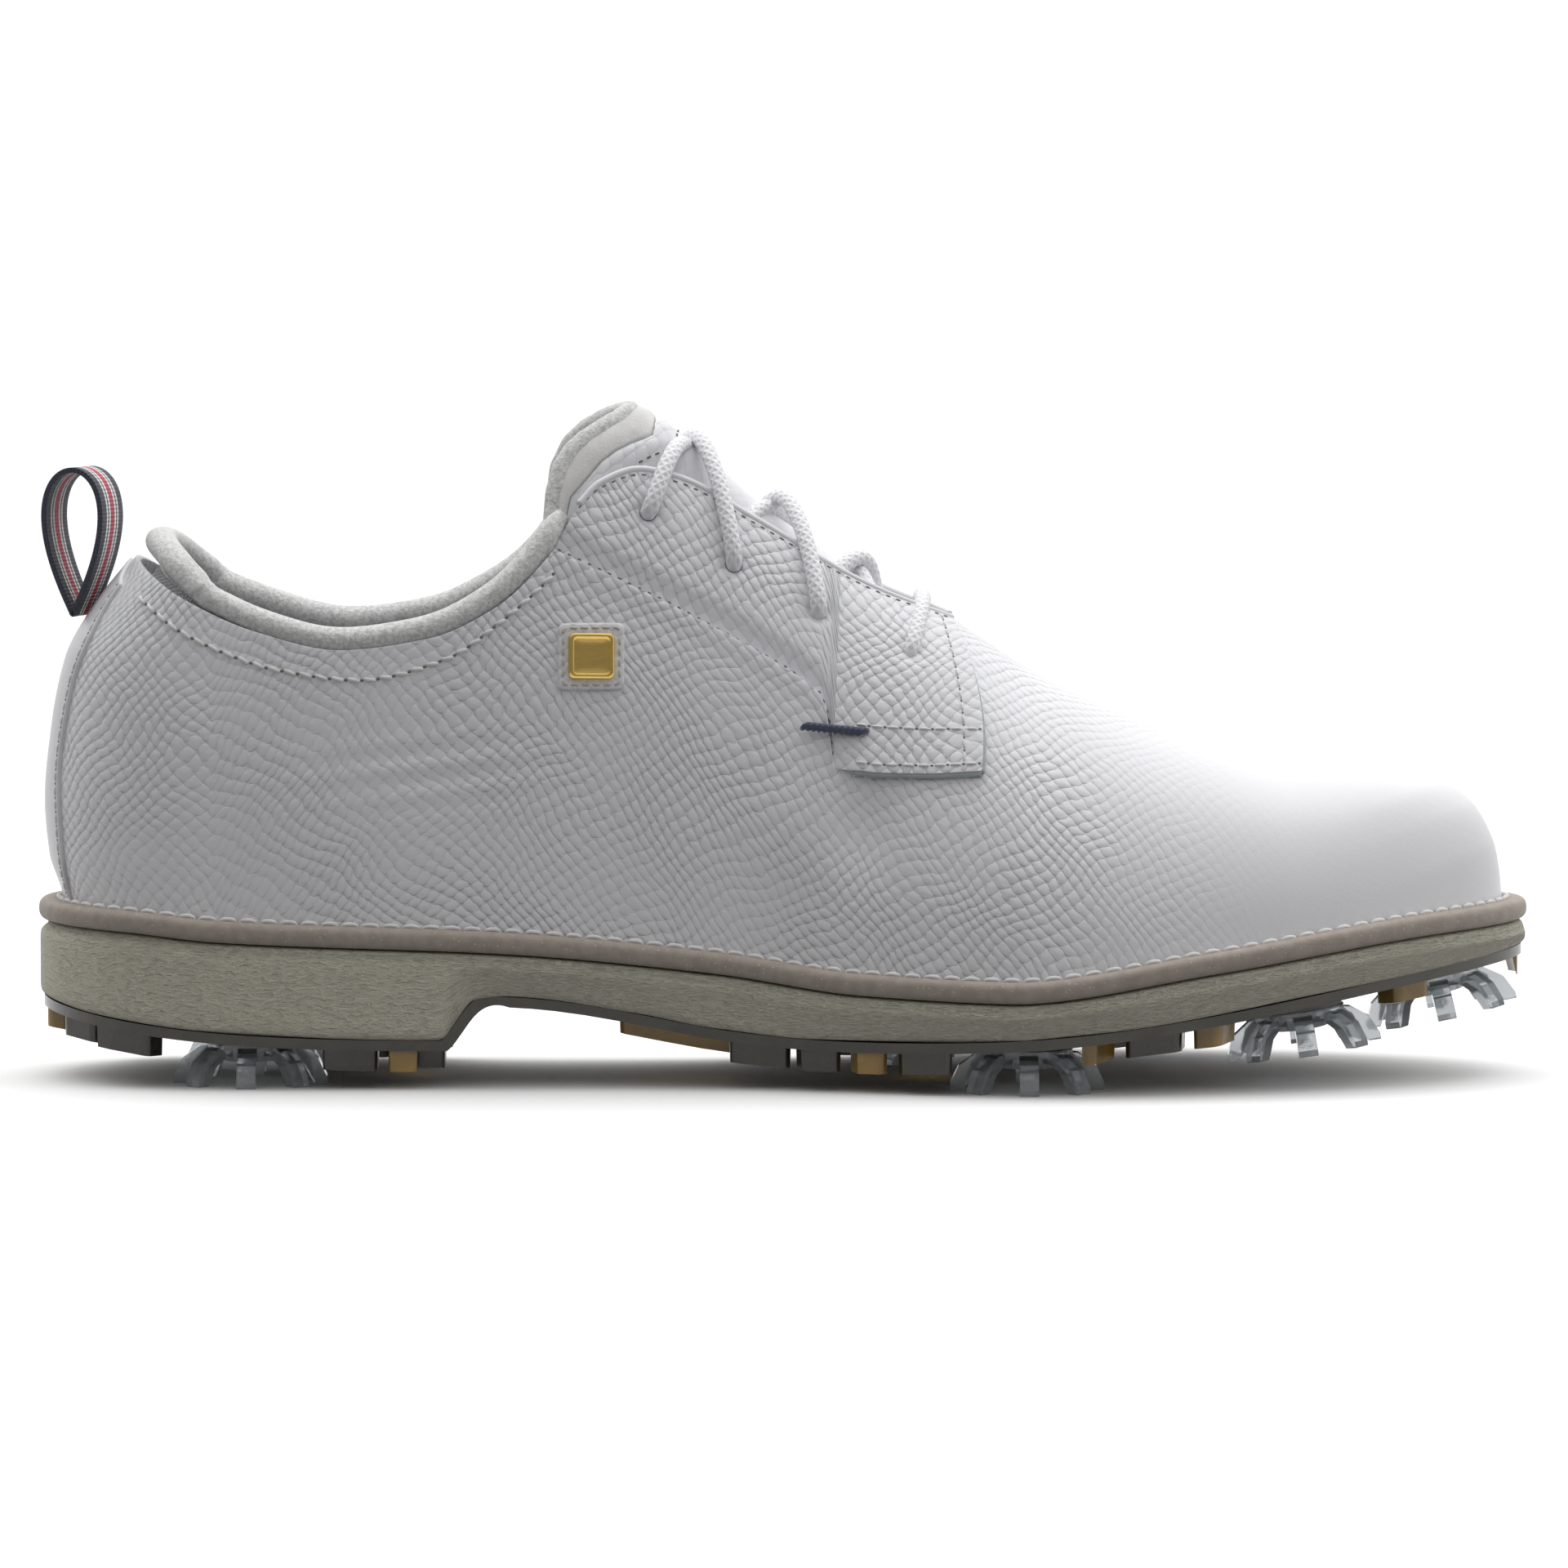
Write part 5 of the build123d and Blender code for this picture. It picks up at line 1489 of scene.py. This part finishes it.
def make_pull_loop():
    """Webbing that stands up from the heel and comes back to its foot."""
    turns = np.linspace(0, 2 * pi, 120)
    wide = LOOP_HALF * np.sin(turns) * np.abs(np.sin(turns / 2)) ** 1.1 * 1.2
    tall = LOOP_TALL * (1 - np.cos(turns)) / 2
    forward = np.array([cos(LOOP_YAW), sin(LOOP_YAW), 0])
    aside = np.array([sin(LOOP_YAW), -cos(LOOP_YAW), 0])
    line = np.array([LOOP_BASE[0], 0, LOOP_BASE[1]]) + wide[:, None] * forward
    line = line + tall[:, None] * np.array([0, 0, 1.0])
    lengths = lengths_along(line)
    shares = np.linspace(-0.5, 0.5, 13)
    points = line[:, None] + aside * (shares * LOOP_WIDTH)[None, :, None]
    uv = np.stack(np.broadcast_arrays(lengths[:, None], (shares * LOOP_WIDTH)[None, :]), -1)
    outward = np.cross(np.gradient(points, axis=0), aside)
    piece = grid_object(
        "pull_loop_webbing", points, "webbing", uv, body="pull_loop", outward=outward)
    thicken(piece, LOOP_THICK, offset=0.0, round_edge=0.25)
    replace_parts(piece, "pull_loop")


make_pull_loop()

BADGE_X, BADGE_Z = -36.5, 81.5
PATCH_SIZE = 12.5
PLATE_SIZE = 8.7


def rounded_square(half, corner, count=8):
    """Outline of a square with round corners."""
    points = []
    for k, (sx, sz) in enumerate(((1, 1), (-1, 1), (-1, -1), (1, -1))):
        for turn in np.linspace(k * pi / 2, (k + 1) * pi / 2, count):
            round_x, round_z = corner * cos(turn), corner * sin(turn)
            points.append((sx * (half - corner) + round_x, sz * (half - corner) + round_z))
    return np.array(points)


def nested(outline, levels, place):
    """Rings of one outline, each scaled and lifted."""
    rings = [place(outline[:, 0] * scale, outline[:, 1] * scale, lift) for scale, lift in levels]
    return np.array(rings)


def make_badge():
    def on_patch(dx, dz, lift):
        return wall(BADGE_X + dx, BADGE_Z + dz, LATERAL, lift * np.ones_like(dx))[0]

    levels = (
        (1.0, -0.3), (1.0, 0.35), (0.985, 0.55), (0.95, 0.68), (0.9, 0.72), (0.7, 0.72),
        (0.4, 0.72), (0.01, 0.72))
    outline = rounded_square(PATCH_SIZE / 2, 1.2)
    points = nested(outline, levels, on_patch)
    offsets = np.vstack([outline, outline[:1]])
    uv = np.array([offsets * scale for scale, _ in levels])
    patch = grid_object(
        "badge_patch_leather", points, "upper_leather", uv, (False, True),
        np.full(points.shape[:2], 0.5))
    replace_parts(patch, "badge_patch")
    ring = rounded_square(PATCH_SIZE / 2 - 0.9, 0.8)
    ring = np.vstack([ring, ring[:1]])
    line, normal = wall(
        BADGE_X + ring[:, 0], BADGE_Z + ring[:, 1], LATERAL, 0.72 * np.ones(len(ring)))
    stitch_row("stitches_badge", line, normal, "stiffener", *STITCHES["badge"])
    centre, normal = wall(BADGE_X, BADGE_Z, LATERAL, 0.75)
    right = np.array([1.0, 0, 0]) - normal * normal[0]
    right /= np.linalg.norm(right)
    up = np.cross(right, -normal) * -1
    up = up if up[2] > 0 else -up

    def flat(dx, dz, lift):
        return centre + dx[:, None] * right + dz[:, None] * up + lift * normal

    plate_levels = (
        (1.0, 0.0), (1.0, 0.6), (0.97, 0.8), (0.9, 0.88), (0.82, 0.88), (0.79, 0.78),
        (0.75, 0.72), (0.4, 0.72), (0.01, 0.72))
    plate = nested(rounded_square(PLATE_SIZE / 2, 1.1), plate_levels, flat)
    badge = grid_object("badge_plate", plate, "badge_metal", None, (False, True))
    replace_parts(badge, "badge")


make_badge()


# The bar's ends as (x, z), its threads, and half of each thread's run across it
TACK_START, TACK_END = np.array((4.0, 68.2)), np.array((15.4, 67.0))
TACK_STRANDS = 11
TACK_SPREAD = np.array((0.95, 0.35))


def make_bartack(side, name):
    """Dense thread bar across the foot of the slit."""
    verts, faces = [], []
    for k in range(TACK_STRANDS):
        centre = TACK_START + (TACK_END - TACK_START) * (k + 0.5) / TACK_STRANDS
        ends = np.array([centre + TACK_SPREAD * share for share in (-1, -0.4, 0.4, 1)])
        lift = np.array([0.9, 1.75, 1.75, 0.9]) + 0.25
        path, normal = wall(ends[:, 0], ends[:, 1], side, lift)
        add_tube(
            verts, faces, tube_points(path, normal, np.array([0.5, 0.62, 0.62, 0.5])[:, None], 8))
    piece = new_object(name + "_thread", verts, faces, "navy_thread", merge=False)
    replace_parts(piece, name)


make_bartack(LATERAL, "bartack_lateral")
make_bartack(MEDIAL, "bartack_medial")


# ---- sole ---------------------------------------------------------------
def sole_outline(spacing):
    """Even points round the sole, lateral side first, with outward normals."""
    sides = {}
    for side in (LATERAL, MEDIAL):
        widest = (LATERAL_PLAN if side == LATERAL else MEDIAL_PLAN)[-1][0]
        heel = HEEL_AXIS - (HEEL_AXIS - HEEL_END) * np.sin(np.linspace(pi / 2, 0, 60))
        toe = widest + (TOE_END - widest) * np.sin(np.linspace(0, pi / 2, 90))
        xs = np.r_[heel, np.arange(HEEL_AXIS + 2, widest - 1, 2), toe]
        sides[side] = np.array([(x, plan_edge(x, side)) for x in xs])
    line = evenly(np.vstack([sides[LATERAL], sides[MEDIAL][-2:0:-1]]), spacing, closed=True)
    tangent = np.roll(line, -1, 0) - np.roll(line, 1, 0)
    tangent = unit(tangent)
    return line, np.stack([tangent[:, 1], -tangent[:, 0]], -1)


OUTLINE, OUTWARD = sole_outline(1.0)


def swept_ring(name, slot, section):
    """Closed ring round the sole; section(x) gives (inset, z) points of its outline."""
    sections = [section(x) for x, _ in OUTLINE]
    points = np.array([
        [(*(spot - out * inset), z) for inset, z in profile]
        for spot, out, profile in zip(OUTLINE, OUTWARD, sections)])
    step = np.arange(len(points) + 1)
    girth = lengths_along(points[0])
    girth = np.r_[girth, girth[-1] + 10]
    uv = [[(u, v) for v in girth] for u in step]
    faces, uvs = grid(points, uv, (True, True))
    piece = new_object(name, points.reshape(-1, 3), faces, slot, uvs)
    piece.modifiers.new("smooth", "SUBSURF").render_levels = 1
    return piece


def welt_section(x):
    top = float(welt_top(x))
    shape = (
        (8, -0.3), (4.6, -0.1), (3.9, -0.35), (3.2, -0.1), (2.0, 0.0), (1.0, -0.12),
        (0.4, -0.55), (0.05, -1.3), (0.0, -2.1), (0.05, -2.9), (0.35, -3.6), (0.9, -4.0),
        (1.8, -4.2), (8, -4.2))
    return [(inset, top + z) for inset, z in shape]


def midsole_section(x):
    top, low = float(welt_top(x)) - WELT_THICK, float(underside(x))
    heel = float(smooth(-95, -138, x))
    groove = 0.7 + 0.9 * heel
    wall_rows = [
        (0.25, top - 2.6 + (low + 1.0 - top + 2.6) * share) for share in np.linspace(0, 1, 7)]
    return [
        (12, top + 0.05), (1.6, top + 0.05), (groove + 0.3, top - 0.5), (groove, top - 1.1),
        (0.5, top - 1.8), *wall_rows, (0.5, low + 0.4), (1.1, low + 0.05), (2.0, low), (12, low)]


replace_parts(swept_ring("welt_ring", "welt_rubber", welt_section), "welt")
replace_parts(swept_ring("midsole_wall", "midsole_foam", midsole_section), "midsole")


WELT_SEAM = 3.8


def make_welt_stitches():
    spots = OUTLINE - OUTWARD * WELT_SEAM
    spots = np.vstack([spots, spots[:1]])
    line = np.column_stack([spots, welt_top(spots[:, 0]) + 0.1])
    up = np.tile((0, 0, 1.0), (len(line), 1))
    stitch_row("stitches_welt", line, up, "welt_thread", *STITCHES["welt"])


MATERIALS["welt_thread"] = MATERIALS["thread_light"]
make_welt_stitches()

# ---- carried-over nodes -------------------------------------------------
NODE_SLOTS = {
    "shank": "shank_steel", "insole_board": "board", "outsole": "outsole_tpu",
    "lugs_dark": "outsole_tpu", "lugs_gold": "gold_tpu", "lace_tips": "lace_tip"}
for node_name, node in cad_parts.items():
    if node.hide_render:
        continue
    slot_name = NODE_SLOTS.get(node_name)
    if node_name.startswith("cleat_"):
        slot_name = "cleat_clear"
    if node_name.startswith("receptacle_"):
        slot_name = "receptacle_nylon"
    for material_slot in node.material_slots:
        material_slot.material = MATERIALS[slot_name]
